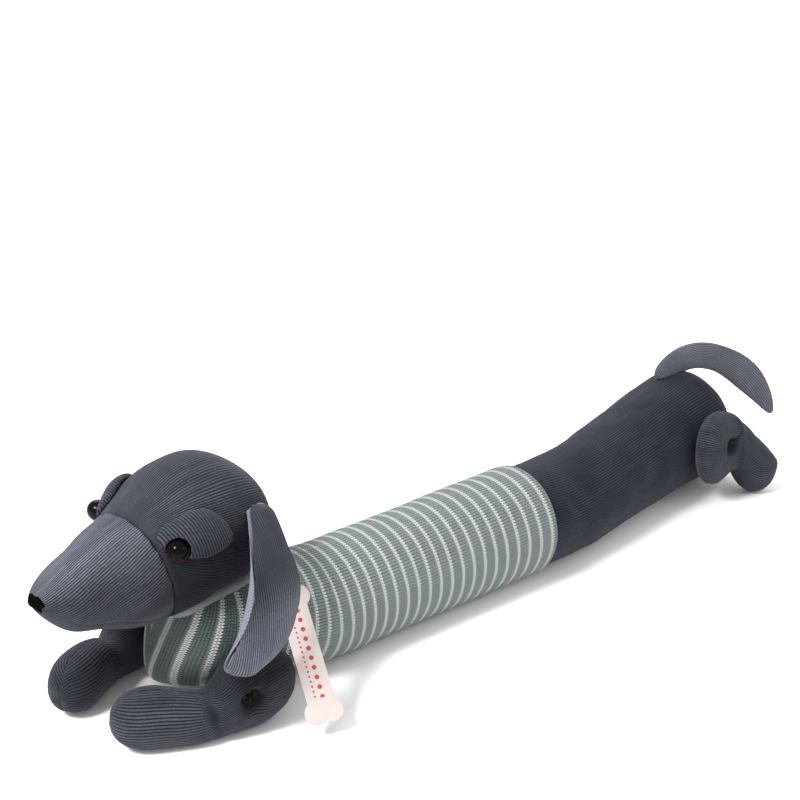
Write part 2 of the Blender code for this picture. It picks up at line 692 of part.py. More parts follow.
def make_tag(jumper_seat):
    """A bare card on a short knotted thread, hanging behind the left ear."""
    curve = bpy.data.curves.new("tag_outline", "CURVE")
    curve.dimensions = "2D"
    curve.fill_mode = "BOTH"
    curve.extrude = TAG_THICKNESS / 2
    hole_at = Vector((0.0, TAG_LENGTH / 2 - TAG_LOBE * 0.95))
    hole = [hole_at + Vector((cos(i * pi / 6), sin(i * pi / 6))) * TAG_HOLE_RADIUS
            for i in range(12)]
    for points in (tag_outline(), hole):
        spline = curve.splines.new("POLY")
        spline.points.add(len(points) - 1)
        for target, spot in zip(spline.points, points):
            target.co = (spot.x, spot.y, 0.0, 1.0)
        spline.use_cyclic_u = True
    flat = bpy.data.objects.new("tag_flat", curve)
    PIECES.objects.link(flat)
    bpy.context.view_layer.update()
    mesh = bpy.data.meshes.new_from_object(flat.evaluated_get(bpy.context.evaluated_depsgraph_get()))
    bpy.data.objects.remove(flat, do_unlink=True)
    bm = bmesh.new()
    bm.from_mesh(mesh)
    bmesh.ops.remove_doubles(bm, verts=bm.verts, dist=0.00001)
    bmesh.ops.recalc_face_normals(bm, faces=bm.faces)
    bm.to_mesh(mesh)
    bm.free()
    mesh.name = "swing_tag"
    mesh.materials.clear()
    tag = add_object("swing_tag", mesh, "tag_card")
    up = TAG_LEAN.normalized()
    face = Vector((-0.30, -0.94, 0.30))
    face = (face - up * face.dot(up)).normalized()
    across = up.cross(face)
    turn = Matrix((across, up, face)).transposed().to_4x4()
    spot = TAG_TOP - up * hole_at.y
    tag.matrix_world = Matrix.Translation(spot) @ turn

    outward = -TIE_INWARD.normalized()
    tilt = outward.angle(face)
    front = (TAG_THICKNESS / 2 + CLEAR) / cos(tilt) + KNOT_RADIUS * tan(tilt)
    tie = turned("tag_tie", [(0.0, -TIE_LENGTH), (TIE_RADIUS, -TIE_LENGTH), (TIE_RADIUS, front),
                             (KNOT_RADIUS, front), (KNOT_RADIUS, front + KNOT_RADIUS * 0.6),
                             (KNOT_RADIUS * 0.5, front + KNOT_RADIUS), (0.0, front + KNOT_RADIUS)],
                 8, "tie_thread")
    hole_spot = tag.matrix_world @ Vector((hole_at.x, hole_at.y, 0.0))
    tie.matrix_world = (Matrix.Translation(hole_spot)
                        @ outward.to_track_quat("Z", "Y").to_matrix().to_4x4())
    cut(tie, jumper_seat)
    return tag, tie


def centre_on_floor():
    """Move the root so that the world origin is under the middle of all pieces."""
    bpy.context.view_layer.update()
    graph = bpy.context.evaluated_depsgraph_get()
    corners = []
    for piece in PIECES.objects:
        if piece.type == "MESH":
            shape = piece.evaluated_get(graph)
            corners += [shape.matrix_world @ vert.co for vert in shape.data.vertices]
    low = [min(corner[i] for corner in corners) for i in range(3)]
    high = [max(corner[i] for corner in corners) for i in range(3)]
    shift = Vector((-(low[0] + high[0]) / 2, -(low[1] + high[1]) / 2, -low[2]))
    ROOT.location = shift
    for cutter in CUTTERS.objects:
        if cutter.parent is None:
            cutter.matrix_world = Matrix.Translation(shift) @ cutter.matrix_world


clear_scene()
PIECES = bpy.data.collections.new(NAME)
CUTTERS = bpy.data.collections.new("cutters")
for group in (PIECES, CUTTERS):
    bpy.context.scene.collection.children.link(group)
ROOT = bpy.data.objects.new("root", None)
PIECES.objects.link(ROOT)

SKIN = CLEAR + JUMPER_WALL
body = tube_form("body", 0.0, "corduroy_body")
jumper = make_jumper()
crown, snout, chin = make_head(SKIN)
head_seat = head_form("head_seat", CLEAR)
for end, side in (("left", -1), ("right", 1)):
    brow = make_brow("brow_" + end, side)
    cut(brow, head_seat)
    make_eye("eye_" + end, (crown, brow), side)
cut(make_nose(), head_seat)
for end, spec in EARS.items():
    outer = make_ear("ear_outer_" + end, spec, 0.0, EAR_OUTER, "corduroy_light")
    lining = make_ear("ear_lining_" + end, spec, -2 * CLEAR - EAR_LINING, -2 * CLEAR, "ear_cloth")
    cut(outer, head_seat)
    cut(lining, head_seat)
jumper_seat = tube_form("jumper_seat", SKIN + 2 * CLEAR)
rump_seat = tube_form("rump_seat", 2 * CLEAR)
for leg_name, leg_place in LEGS.items():
    skin = SKIN if leg_place["forward"] else 0.0
    leg = make_leg(leg_name, leg_place, skin)
    cut(leg, jumper_seat if leg_place["forward"] else rump_seat)
cut(make_tail(), rump_seat)
make_tag(jumper_seat)
centre_on_floor()
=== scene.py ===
from math import cos, pi, radians, sin, tau
import bmesh
import bpy
import numpy as np
from mathutils import Matrix, Vector, noise


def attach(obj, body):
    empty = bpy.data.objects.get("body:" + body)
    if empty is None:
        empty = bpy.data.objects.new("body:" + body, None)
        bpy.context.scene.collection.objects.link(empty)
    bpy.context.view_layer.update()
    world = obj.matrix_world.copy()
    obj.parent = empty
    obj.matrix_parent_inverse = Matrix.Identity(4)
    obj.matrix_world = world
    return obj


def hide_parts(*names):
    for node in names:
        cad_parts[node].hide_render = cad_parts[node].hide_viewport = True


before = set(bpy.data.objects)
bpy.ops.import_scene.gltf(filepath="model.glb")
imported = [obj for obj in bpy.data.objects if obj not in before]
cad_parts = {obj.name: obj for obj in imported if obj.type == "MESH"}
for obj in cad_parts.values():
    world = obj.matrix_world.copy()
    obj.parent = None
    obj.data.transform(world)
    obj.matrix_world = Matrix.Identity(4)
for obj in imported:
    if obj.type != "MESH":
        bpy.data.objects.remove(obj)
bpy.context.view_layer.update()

scene = bpy.context.scene

# The photographer's studio: a white sweep of paper, one soft lamp high on the camera's
# left, a weak one on its right, one behind the dog, and bright white walls all round.
CAMERA_PLACE = (-0.8741, -0.8845, 0.6380)
CAMERA_TURN = (radians(70.0), 0.0, radians(-41.0))
LENS, FILM_WIDTH = 61.92, 36.0
WALL_LIGHT = 1.04
FLOOR_WIDTH = 60.0
camera_data = bpy.data.cameras.new("camera")
camera_data.lens = LENS
camera_data.sensor_width = FILM_WIDTH
camera = bpy.data.objects.new("camera", camera_data)
camera.location = CAMERA_PLACE
camera.rotation_euler = CAMERA_TURN
scene.collection.objects.link(camera)
scene.camera = camera


def soft_lamp(name, place, aim, size, power):
    lamp_data = bpy.data.lights.new(name, "AREA")
    lamp_data.shape = "DISK"
    lamp_data.size = size
    lamp_data.energy = power
    lamp = bpy.data.objects.new(name, lamp_data)
    lamp.location = place
    lamp.rotation_euler = (Vector(aim) - Vector(place)).to_track_quat("-Z", "Y").to_euler()
    scene.collection.objects.link(lamp)


def new_material(name):
    """A material, with its node tree and its shader."""
    made = bpy.data.materials.new(name)
    made.use_nodes = True
    return made, made.node_tree, made.node_tree.nodes["Principled BSDF"]


soft_lamp("lamp_left", (-1.55, -0.10, 1.50), (-0.25, 0.0, 0.10), 0.55, 46.0)
soft_lamp("lamp_right", (0.85, -1.70, 1.20), (0.1, 0.0, 0.05), 0.90, 4.0)
soft_lamp("lamp_behind", (0.30, 1.60, 1.60), (0.0, 0.0, 0.05), 1.20, 16.0)

world = bpy.data.worlds.new("white_walls")
world.use_nodes = True
walls = world.node_tree.nodes["Background"]
walls.inputs["Color"].default_value = (1.0, 1.0, 1.0, 1.0)
walls.inputs["Strength"].default_value = WALL_LIGHT
scene.world = world
scene.view_settings.view_transform = "Standard"

bpy.ops.object.select_all(action="DESELECT")
bpy.ops.mesh.primitive_plane_add(size=FLOOR_WIDTH, location=(0.0, 0.0, 0.0))
floor = bpy.context.object
floor.name = "paper_floor"
paper, _, shader = new_material("floor_paper")
shader.inputs["Base Color"].default_value = (0.97, 0.97, 0.97, 1.0)
shader.inputs["Roughness"].default_value = 0.9
floor.data.materials.append(paper)

# The stuffed tube: corduroy sewn into one long bag, its ribs running from the chest
# to the rump, filled with fibre that leaves it a little lumpy behind the jumper.
SHIFT = Vector((-0.3841, 0.0205, 0.0))      # from the places below to the model's own
CHEST, CHEST_CAP, TUBE_END, RUMP_CAP = 0.020, 0.050, 0.780, 0.040
CHEST_RADIUS, RUMP_RADIUS, HEM = 0.0505, 0.0648, 0.423
BELLY = 0.0025                              # how much fuller the tube is behind the chest
CHEST_LIFT, LIFT_LENGTH = 0.022, 0.140      # the chest rises towards the head
RUMP_SWING, CHEST_SWING = 0.048, 0.032      # the tube bends a little to each side
RIB_PITCH, RIB_GIRTH = 0.0030, 0.060
CREASE_WIDTH, CREASE_SHADE = 0.0055, 0.35
# Painted shade: the tube's corduroy is given darker than the head's and the legs', for the shade the body
# lies in.
TUBE_SHADED_SLATE = dict(groove=(0.0036, 0.0044, 0.0076), ridge=(0.0185, 0.0212, 0.0345),
                  rubbed=(0.0370, 0.0415, 0.0600))


def eased(value):
    value = np.clip(value, 0.0, 1.0)
    return value * value * (3.0 - 2.0 * value)


def tube_radius(x):
    swell = np.clip((x - HEM - 0.09) / (TUBE_END - RUMP_CAP - HEM - 0.09), 0.0, 1.0)
    belly = BELLY * eased((x - HEM / 2) / (HEM / 2))
    return CHEST_RADIUS + belly + (RUMP_RADIUS - CHEST_RADIUS - BELLY) * swell ** 1.5


def tube_middle(x):
    """Sideways place and height of the tube's middle line, in the model's own places."""
    lift = CHEST_LIFT * np.clip(1.0 - (x - CHEST) / LIFT_LENGTH, 0.0, None) ** 1.6
    swing = RUMP_SWING * eased((x - HEM) / (TUBE_END - HEM)) - CHEST_SWING * eased((x + 0.06) / 0.24)
    settled = 0.0033 * (1.0 - eased((x - HEM) / 0.04)) - 0.0040
    return swing + SHIFT.y, settled + tube_radius(x) + lift


def points_of(piece):
    spots = np.empty(len(piece.data.vertices) * 3)
    piece.data.vertices.foreach_get("co", spots)
    return spots.reshape(-1, 3)


def normals_of(piece):
    facing = np.empty(len(piece.data.vertices) * 3)
    piece.data.vertex_normals.foreach_get("vector", facing)
    return facing.reshape(-1, 3)


def move_points(piece, spots):
    piece.data.vertices.foreach_set("co", np.ascontiguousarray(spots).ravel())
    piece.data.update()


def finish_modifier(piece, kind, **settings):
    """Add one modifier, set it, and make it part of the mesh."""
    for other in bpy.context.selected_objects:
        other.select_set(False)
    piece.select_set(True)
    bpy.context.view_layer.objects.active = piece
    made = piece.modifiers.new(kind.title(), kind)
    for key, value in settings.items():
        setattr(made, key, value)
    bpy.ops.object.modifier_apply(modifier=made.name)


def sewn_copy(node, name, rounds):
    """A soft copy of a solid, its facets melted into one another."""
    bpy.ops.object.select_all(action="DESELECT")
    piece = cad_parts[node].copy()
    piece.data = piece.data.copy()
    piece.parent = None
    piece.name = piece.data.name = name
    for key in list(piece.keys()):
        del piece[key]
    scene.collection.objects.link(piece)
    piece.data.materials.clear()
    piece.select_set(True)
    bpy.context.view_layer.objects.active = piece
    bpy.ops.object.mode_set(mode="EDIT")
    bpy.ops.mesh.select_all(action="SELECT")
    bpy.ops.mesh.remove_doubles(threshold=0.00002)
    bpy.ops.mesh.tris_convert_to_quads(face_threshold=radians(50), shape_threshold=radians(70))
    bpy.ops.object.mode_set(mode="OBJECT")
    if piece.data.has_custom_normals:
        bpy.ops.mesh.customdata_custom_splitnormals_clear()
    finish_modifier(piece, "SUBSURF", levels=rounds, render_levels=rounds)
    bpy.ops.object.shade_smooth()
    return piece


def lay_cloth(piece, across, along, third=None):
    """Store each point's place across and along the cloth, and a third value; on most pieces that is the
    painted shade of its pile.
    """
    third = np.zeros_like(across) if third is None else third
    places = np.stack([across, along, third], axis=1).astype(np.float32)
    layer = piece.data.attributes.new("cloth", "FLOAT_VECTOR", "POINT")
    layer.data.foreach_set("vector", places.ravel())


def crease(spots, facing, start, end, width, depth):
    """Press a soft furrow into the cloth between two places, and say how much of it each point has."""
    start, end = np.array(start), np.array(end)
    run = end - start
    share = np.clip(((spots - start) @ run) / (run @ run), 0.0, 1.0)
    gap = np.linalg.norm(spots - start - share[:, None] * run, axis=1)
    pressed = np.sin(pi * np.clip(share, 0.04, 0.96)) ** 0.5 * np.exp(-(gap / width) ** 2)
    spots -= facing * (depth * pressed)[:, None]
    return pressed


def lumps(spots, size, seed):
    """Slow uneven swell of the filling, from -1 to 1."""
    return np.array([noise.noise(Vector(spot) / size + Vector((seed, 2.1 * seed, -seed)))
                     for spot in spots])


def sum_node(tree, kind, first, second=None, value=None):
    """One step of arithmetic between two sockets, or a socket and a number."""
    made = tree.nodes.new("ShaderNodeMath")
    made.operation = kind
    tree.links.new(first, made.inputs[0])
    if second is not None:
        tree.links.new(second, made.inputs[1])
    elif value is not None:
        made.inputs[1].default_value = value
    return made.outputs[0]


def mixed(tree, amount, first, second):
    """Two colours mixed by a socket; each is a socket or a colour."""
    made = tree.nodes.new("ShaderNodeMix")
    made.data_type = "RGBA"
    tree.links.new(amount, made.inputs["Factor"])
    for colour, place in ((first, 6), (second, 7)):
        if isinstance(colour, tuple):
            made.inputs[place].default_value = (*colour, 1.0)
        else:
            tree.links.new(colour, made.inputs[place])
    return made.outputs[2]


def blotches(tree, size, detail=3.0, stretch=(1.0, 1.0, 1.0), by_cloth=False):
    """Cloudy noise whose clouds are about the given size in metres."""
    if by_cloth:
        place = tree.nodes.new("ShaderNodeAttribute")
        place.attribute_name = "cloth"
        spot = place.outputs["Vector"]
    else:
        place = tree.nodes.new("ShaderNodeTexCoord")
        spot = place.outputs["Object"]
    turn = tree.nodes.new("ShaderNodeMapping")
    turn.inputs["Scale"].default_value = stretch
    tree.links.new(spot, turn.inputs["Vector"])
    cloud = tree.nodes.new("ShaderNodeTexNoise")
    cloud.inputs["Scale"].default_value = 1.0 / size
    cloud.inputs["Detail"].default_value = detail
    tree.links.new(turn.outputs["Vector"], cloud.inputs["Vector"])
    return cloud.outputs["Fac"]


def spread(tree, value, low, high, to_low=0.0, to_high=1.0):
    made = tree.nodes.new("ShaderNodeMapRange")
    made.inputs["From Min"].default_value = low
    made.inputs["From Max"].default_value = high
    made.inputs["To Min"].default_value = to_low
    made.inputs["To Max"].default_value = to_high
    tree.links.new(value, made.inputs["Value"])
    return made.outputs["Result"]


def cloth_places(tree):
    """What lay_cloth stored: the place across the cloth, the place along it, and the third value."""
    cloth = tree.nodes.new("ShaderNodeAttribute")
    cloth.attribute_name = "cloth"
    parts = tree.nodes.new("ShaderNodeSeparateXYZ")
    tree.links.new(cloth.outputs["Vector"], parts.inputs[0])
    return parts.outputs["X"], parts.outputs["Y"], parts.outputs["Z"]


def roughen(tree, shader, height, strength, distance):
    """Raise the surface by a socket's height, through the shader's normal."""
    bump = tree.nodes.new("ShaderNodeBump")
    bump.inputs["Strength"].default_value = strength
    bump.inputs["Distance"].default_value = distance
    tree.links.new(height, bump.inputs["Height"])
    tree.links.new(bump.outputs["Normal"], shader.inputs["Normal"])


def corduroy(name, groove, ridge, rubbed, pitch=RIB_PITCH, depth=0.0005):
    """Ribbed cotton pile: round ribs, dark narrow grooves that are partly painted shade, brushed and
    rubbed lighter, and darkened by painted shade from the third cloth value.
    """
    made, tree, shader = new_material(name)
    across, _, painted_shade = cloth_places(tree)
    wander = spread(tree, blotches(tree, 0.020, 2.0), 0.0, 1.0, -0.00045, 0.00045)
    across = sum_node(tree, "ADD", across, wander)
    wave = sum_node(tree, "SINE", sum_node(tree, "MULTIPLY", across, value=pi / pitch))
    rib = sum_node(tree, "ABSOLUTE", wave)
    pile = blotches(tree, 0.0011, 2.0)
    nap = blotches(tree, 0.0100, 3.0, (1.0, 0.22, 1.0), by_cloth=True)
    brushed = blotches(tree, 0.045, 3.0)
    height = sum_node(tree, "ADD", rib, sum_node(tree, "MULTIPLY", pile, value=0.55))
    roughen(tree, shader, height, 0.9, depth)
    lit = mixed(tree, spread(tree, brushed, 0.35, 0.68), ridge, rubbed)
    lit = mixed(tree, spread(tree, nap, 0.40, 0.75, 0.0, 0.45), lit, groove)
    tuft = spread(tree, pile, 0.30, 0.70, 0.50, 1.0)
    # the grooves are darker partly in the cloth's own colour and partly as painted shade
    crest = spread(tree, rib, 0.34, 0.97, 0.03, 1.0)
    body = mixed(tree, sum_node(tree, "MULTIPLY", crest, tuft), groove, lit)
    # painted shade: where the third cloth value is high, the pile is darkened towards a deep groove colour
    body = mixed(tree, painted_shade, body, tuple(channel * 0.4 for channel in groove))
    tree.links.new(body, shader.inputs["Base Color"])
    shader.inputs["Roughness"].default_value = 0.95
    shader.inputs["Specular IOR Level"].default_value = 0.15
    shader.inputs["Sheen Weight"].default_value = 0.10
    shader.inputs["Sheen Roughness"].default_value = 0.45
    shader.inputs["Sheen Tint"].default_value = (0.80, 0.84, 1.00, 1.0)
    return made


tube = sewn_copy("body", "corduroy_tube", 3)
spots, facing = points_of(tube), normals_of(tube)
bare = eased((spots[:, 0] - SHIFT.x - HEM - 0.02) / 0.05)
uneven = lumps(spots, 0.055, 3.0) * 0.0016 + lumps(spots, 0.021, 8.0) * 0.0005
spots += facing * (uneven * bare)[:, None]
furrowed = np.zeros(len(spots))
for start, end, depth in (((0.165, -0.062, 0.105), (0.205, -0.058, 0.045), 0.0033),
                          ((0.215, -0.050, 0.112), (0.245, -0.055, 0.060), 0.0027),
                          ((0.090, -0.066, 0.095), (0.120, -0.066, 0.040), 0.00225),
                          ((0.300, -0.035, 0.118), (0.330, -0.045, 0.070), 0.0024),
                          ((0.180, 0.040, 0.112), (0.150, 0.052, 0.050), 0.0027),
                          ((0.075, -0.030, 0.118), (0.115, -0.062, 0.085), 0.0033),
                          ((0.060, -0.045, 0.110), (0.085, -0.066, 0.060), 0.0027),
                          ((0.140, -0.058, 0.098), (0.150, -0.064, 0.035), 0.0024),
                          ((0.260, 0.060, 0.110), (0.240, 0.068, 0.050), 0.0027)):
    furrowed = np.maximum(furrowed, crease(spots, facing, start, end, CREASE_WIDTH, depth))
spots[:, 2] = np.maximum(spots[:, 2], 0.0)
move_points(tube, spots)
tube_x = spots[:, 0] - SHIFT.x
side_middle, height_middle = tube_middle(tube_x)
round_angle = np.arctan2(spots[:, 1] - side_middle, spots[:, 2] - height_middle)
# Painted shade: the cloth is darker along its creases.
lay_cloth(tube, np.abs(round_angle) * RIB_GIRTH, tube_x, CREASE_SHADE * furrowed)
tube.data.materials.append(corduroy("tube_corduroy", **TUBE_SHADED_SLATE))
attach(tube, "root")
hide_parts("body")

# The jumper: a knitted sleeve in stocking stitch, grey-green with about two white rows
# in every seven, pulled over the chest and pulled wider there, where its gaps are darker, partly as
# painted shade. Its hem is turned in.
STRIPE_STATIONS = ((0.02, 0.0225), (0.06, 0.0210), (0.09, 0.0137), (0.13, 0.0125), (0.20, 0.0125),
                   (0.30, 0.0138), (0.42, 0.0155))
STRIPE_AT = 0.194                           # one stripe lies here, and the rest are counted from it
ROWS_A_STRIPE, WHITE_ROWS = 7, 1.8
WALE, KNIT_GIRTH = 0.0029, 0.0545
CHEST_LEAN = 0.38                           # the stripes lean back where the chest rises
SLACK_GAP, STRETCHED_GAP_AND_SHADE = 0.04, 0.24       # how open the stitches are, and how much more in front, partly as painted shade
WOOL, WOOL_SHADE, WHITE_WOOL = (0.415, 0.500, 0.478), (0.018, 0.040, 0.038), (0.95, 0.98, 0.97)


def stripe_count(x):
    """How many stripes lie between the front of the chest and a place along the tube."""
    fine = np.linspace(-0.08, 0.47, 1101)
    pitch = np.interp(fine, *zip(*STRIPE_STATIONS))
    steps = 0.5 * (1 / pitch[1:] + 1 / pitch[:-1]) * np.diff(fine)
    total = np.concatenate([[0.0], np.cumsum(steps)])
    return np.interp(x, fine, total - np.interp(STRIPE_AT, fine, total) + 40.0)


def knit(name, wool, shade, white):
    """Stocking stitch: columns of V stitches, their gaps opened by the third cloth value, wider where the
    cloth is pulled and partly as painted shade.
    """
    made, tree, shader = new_material(name)
    across, stripe, openness_and_shade = cloth_places(tree)
    wander = spread(tree, blotches(tree, 0.012, 2.0), 0.0, 1.0, -0.22, 0.22)
    column = sum_node(tree, "FRACT", sum_node(tree, "MULTIPLY", across, value=1.0 / WALE))
    arm = sum_node(tree, "ABSOLUTE", sum_node(tree, "SUBTRACT", column, value=0.5))
    arm = sum_node(tree, "MULTIPLY", arm, value=2.0)
    row = sum_node(tree, "MULTIPLY", stripe, value=float(ROWS_A_STRIPE))
    row = sum_node(tree, "ADD", row, sum_node(tree, "MULTIPLY", arm, value=1.2))
    row = sum_node(tree, "ADD", row, wander)
    loop = sum_node(tree, "ABSOLUTE", sum_node(tree, "SINE", sum_node(tree, "MULTIPLY", row, value=pi)))
    rope = spread(tree, sum_node(tree, "POWER", arm, value=3.0), 0.0, 1.0, 1.0, 0.0)
    heart = spread(tree, arm, 0.0, 0.30, 0.60, 1.0)
    yarn = sum_node(tree, "MULTIPLY", sum_node(tree, "POWER", loop, value=0.7),
                    sum_node(tree, "MULTIPLY", sum_node(tree, "POWER", rope, value=0.7), heart))
    fluff = blotches(tree, 0.0009, 2.0)
    height = sum_node(tree, "ADD", yarn, sum_node(tree, "MULTIPLY", fluff, value=0.35))
    roughen(tree, shader, height, 1.0, 0.0009)
    place = sum_node(tree, "FRACT", sum_node(tree, "DIVIDE", row, value=float(ROWS_A_STRIPE)))
    is_white = sum_node(tree, "LESS_THAN", place, value=WHITE_ROWS / ROWS_A_STRIPE)
    mottled = mixed(tree, spread(tree, blotches(tree, 0.006, 3.0), 0.35, 0.70), wool,
                    tuple(channel * 0.74 for channel in wool))
    colour = mixed(tree, is_white, mottled, white)
    deep = mixed(tree, is_white, shade, tuple(channel * 0.16 for channel in white))
    # partly painted shade: the third cloth value widens the dark gaps, less in the white rows
    gap = sum_node(tree, "MULTIPLY", openness_and_shade, spread(tree, is_white, 0.0, 1.0, 1.0, 0.25))
    closed = spread(tree, sum_node(tree, "SUBTRACT", yarn, gap), 0.42, 0.86)
    tree.links.new(mixed(tree, closed, deep, colour), shader.inputs["Base Color"])
    shader.inputs["Roughness"].default_value = 0.95
    shader.inputs["Specular IOR Level"].default_value = 0.12
    shader.inputs["Sheen Weight"].default_value = 0.25
    shader.inputs["Sheen Roughness"].default_value = 0.5
    return made


jumper = sewn_copy("jumper", "knitted_jumper", 3)
spots, facing = points_of(jumper), normals_of(jumper)
tube_x = spots[:, 0] - SHIFT.x
side_middle, height_middle = tube_middle(tube_x)
from_middle = np.hypot(spots[:, 1] - side_middle, spots[:, 2] - height_middle)
outer = from_middle > tube_radius(tube_x) + 0.0016
spots += facing * (lumps(spots, 0.040, 5.0) * 0.0009 * outer)[:, None]
spots[:, 2] = np.maximum(spots[:, 2], 0.0)
move_points(jumper, spots)
round_angle = np.arctan2(spots[:, 1] - side_middle, spots[:, 2] - height_middle)
slope = CHEST_LEAN * np.clip(1.0 - (tube_x - CHEST) / LIFT_LENGTH, 0.0, 1.0) ** 0.6
upright = tube_x - slope * (spots[:, 2] - height_middle)
chest_side = CHEST + CHEST_CAP
from_axis = np.abs(spots[:, 1] - side_middle) / CHEST_RADIUS
front_turn = np.arctan2(np.clip((chest_side - tube_x) / CHEST_CAP, 0.0, None), from_axis)
arc_x = upright + np.clip(chest_side - tube_x, 0.0, None) - CHEST_CAP * 1.25 * front_turn
# partly painted shade: the gaps open darker on the chest, under the head
open_and_shaded = SLACK_GAP + STRETCHED_GAP_AND_SHADE * (1.0 - eased((tube_x - 0.060) / 0.070))
lay_cloth(jumper, np.abs(round_angle) * KNIT_GIRTH, stripe_count(arc_x), open_and_shaded)
jumper.data.materials.append(knit("striped_knit", WOOL, WOOL_SHADE, WHITE_WOOL))
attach(jumper, "root")
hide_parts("jumper")

# The head: a round crown and a long snout, each cut from corduroy, joined by a seam in
# front of the eyes and stuffed hard. The ribs run from the nose to the nape.
HEAD_BACK, HEAD_PIVOT, HEAD_TURN, HEAD_LONG = 0.131, 0.060, radians(5), 0.221
SEAM_AT = HEAD_PIVOT - 0.580 * HEAD_LONG    # the seam between crown and snout
HEAD_GRAIN = 0.0019                         # size of the even faces that the head is remade in
CROWN_MIDDLE, CROWN_GIRTH = 0.150, 0.060
CHEEK_SHADE, MOUTH_FURROW = 0.76, 0.0004
BRIDGE_FILL, TIP_DRAWN_IN = 0.0032, 0.0014
SNOUT_SHADE, JAW_SHADE = 0.10, 0.55         # all over, and how much more down its sides
SNOUT_AT = (0.55, 0.70, 0.85, 1.0)          # stations along the head, from the seam to the nose
SNOUT_MIDDLE, SNOUT_GIRTH = (0.136, 0.128, 0.126, 0.128), (0.056, 0.046, 0.034, 0.018)
CROWN_SLATE = dict(groove=(0.0056, 0.0063, 0.0098), ridge=(0.0500, 0.0545, 0.0700),
                   rubbed=(0.0800, 0.0862, 0.1060))
SNOUT_SLATE = dict(groove=(0.0085, 0.0094, 0.0140), ridge=(0.1420, 0.1520, 0.1900),
                   rubbed=(0.2150, 0.2280, 0.2700))
head_place = (Matrix.Translation(Vector((HEAD_BACK - HEAD_PIVOT, 0.0, 0.0)) + SHIFT)
              @ Matrix.Rotation(HEAD_TURN, 4, "Z"))
to_head = np.array(head_place.inverted())
turned_head = np.array(head_place.to_3x3())


def stuffed_copy(node, name, grain, rounds):
    """A soft copy remade in even faces, its sewn edges rounded as over filling."""
    piece = sewn_copy(node, name, 2)
    finish_modifier(piece, "REMESH", mode="VOXEL", voxel_size=grain)
    finish_modifier(piece, "SMOOTH", factor=0.5, iterations=rounds)
    finish_modifier(piece, "SUBSURF", levels=1, render_levels=1)
    bpy.ops.object.shade_smooth()
    return piece


def in_head(spots):
    """Places measured in the head's own frame: back, dog's right, up."""
    return spots @ to_head[:3, :3].T + to_head[:3, 3]


crown = stuffed_copy("head_crown", "crown_panels", HEAD_GRAIN, 3)
spots, facing = points_of(crown), normals_of(crown)
spots += facing * (lumps(spots, 0.045, 1.0) * 0.0008)[:, None]
move_points(crown, spots)
local = in_head(spots)
behind_seam = local[:, 0] - SEAM_AT
from_top = np.arctan2(np.abs(local[:, 1]), local[:, 2] - CROWN_MIDDLE) * CROWN_GIRTH
below = np.clip((from_top - 0.040) / 0.080, 0.0, 1.0)
back_from_seam = 0.045 * (1.0 - np.exp(-np.clip(behind_seam, 0.0, None) / 0.045))
# Painted shade: the pile is darker down the cheeks behind the seam.
painted_shade = CHEEK_SHADE * eased((from_top - 0.050) / 0.050) * eased((behind_seam + 0.03) / 0.035)
packed = from_top * (1.0 + 0.45 * eased((from_top - 0.030) / 0.070))
lay_cloth(crown, packed - 0.80 * back_from_seam * below, local[:, 0], painted_shade)
crown.data.materials.append(corduroy("crown_corduroy", **CROWN_SLATE))

snout = stuffed_copy("head_snout", "snout_panels", HEAD_GRAIN, 3)
spots = points_of(snout)
local = in_head(spots)
share = (HEAD_PIVOT - local[:, 0]) / HEAD_LONG
middle_height = np.interp(share, SNOUT_AT, SNOUT_MIDDLE)
girth = np.interp(share, SNOUT_AT, SNOUT_GIRTH)
mouth = np.interp(share, (0.55, 0.75, 0.92, 1.0), (2.25, 2.15, 2.05, 2.0))
lean = np.arctan2(np.abs(local[:, 1]), local[:, 2] - middle_height)
upper = lean < mouth
snout_across = np.where(upper, lean * girth, (2.0 * mouth - lean) * girth)
facing = normals_of(snout)
seam_gap = (lean - mouth) * girth
spots -= facing * (MOUTH_FURROW * np.exp(-(seam_gap / 0.0016) ** 2))[:, None]
bridge = BRIDGE_FILL * np.exp(-((share - 0.73) / 0.065) ** 2)
bridge -= TIP_DRAWN_IN * np.exp(-((share - 0.89) / 0.060) ** 2)
spots += facing * (bridge * (1.0 - eased((lean - 0.6) / 0.8)))[:, None]
move_points(snout, spots)
# Painted shade: a little all over the snout, and more down its sides.
painted_shade = SNOUT_SHADE + JAW_SHADE * eased((lean - 0.4) / 1.1)
lay_cloth(snout, snout_across, local[:, 0], painted_shade)
snout.data.materials.append(corduroy("snout_corduroy", pitch=0.0026, **SNOUT_SLATE))
for piece, node in ((crown, "head_crown"), (snout, "head_snout")):
    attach(piece, "root")
    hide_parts(node)

# The chin: a plain pale grey cloth that closes the head underneath, between the cheeks
# and the jumper. Smooth, with a fine even weave.
CHIN_GREY = (0.210, 0.220, 0.232)
CHIN_GRAIN, CHIN_OUT, CHIN_DOWN = 0.0018, 0.0020, 0.0036


def plain_cloth(name, colour, size=0.0009, gleam=0.15):
    """A dull even cloth, felt or thread, flecked at the given size."""
    made, tree, shader = new_material(name)
    fleck = blotches(tree, size, 2.0)
    cloud = blotches(tree, 0.03, 2.0)
    dark = tuple(channel * 0.72 for channel in colour)
    tone = mixed(tree, spread(tree, cloud, 0.3, 0.7), dark, colour)
    tone = mixed(tree, spread(tree, fleck, 0.3, 0.7, 0.6, 1.0), dark, tone)
    tree.links.new(tone, shader.inputs["Base Color"])
    roughen(tree, shader, fleck, 0.5, 0.0003)
    shader.inputs["Roughness"].default_value = 0.92
    shader.inputs["Specular IOR Level"].default_value = gleam
    return made


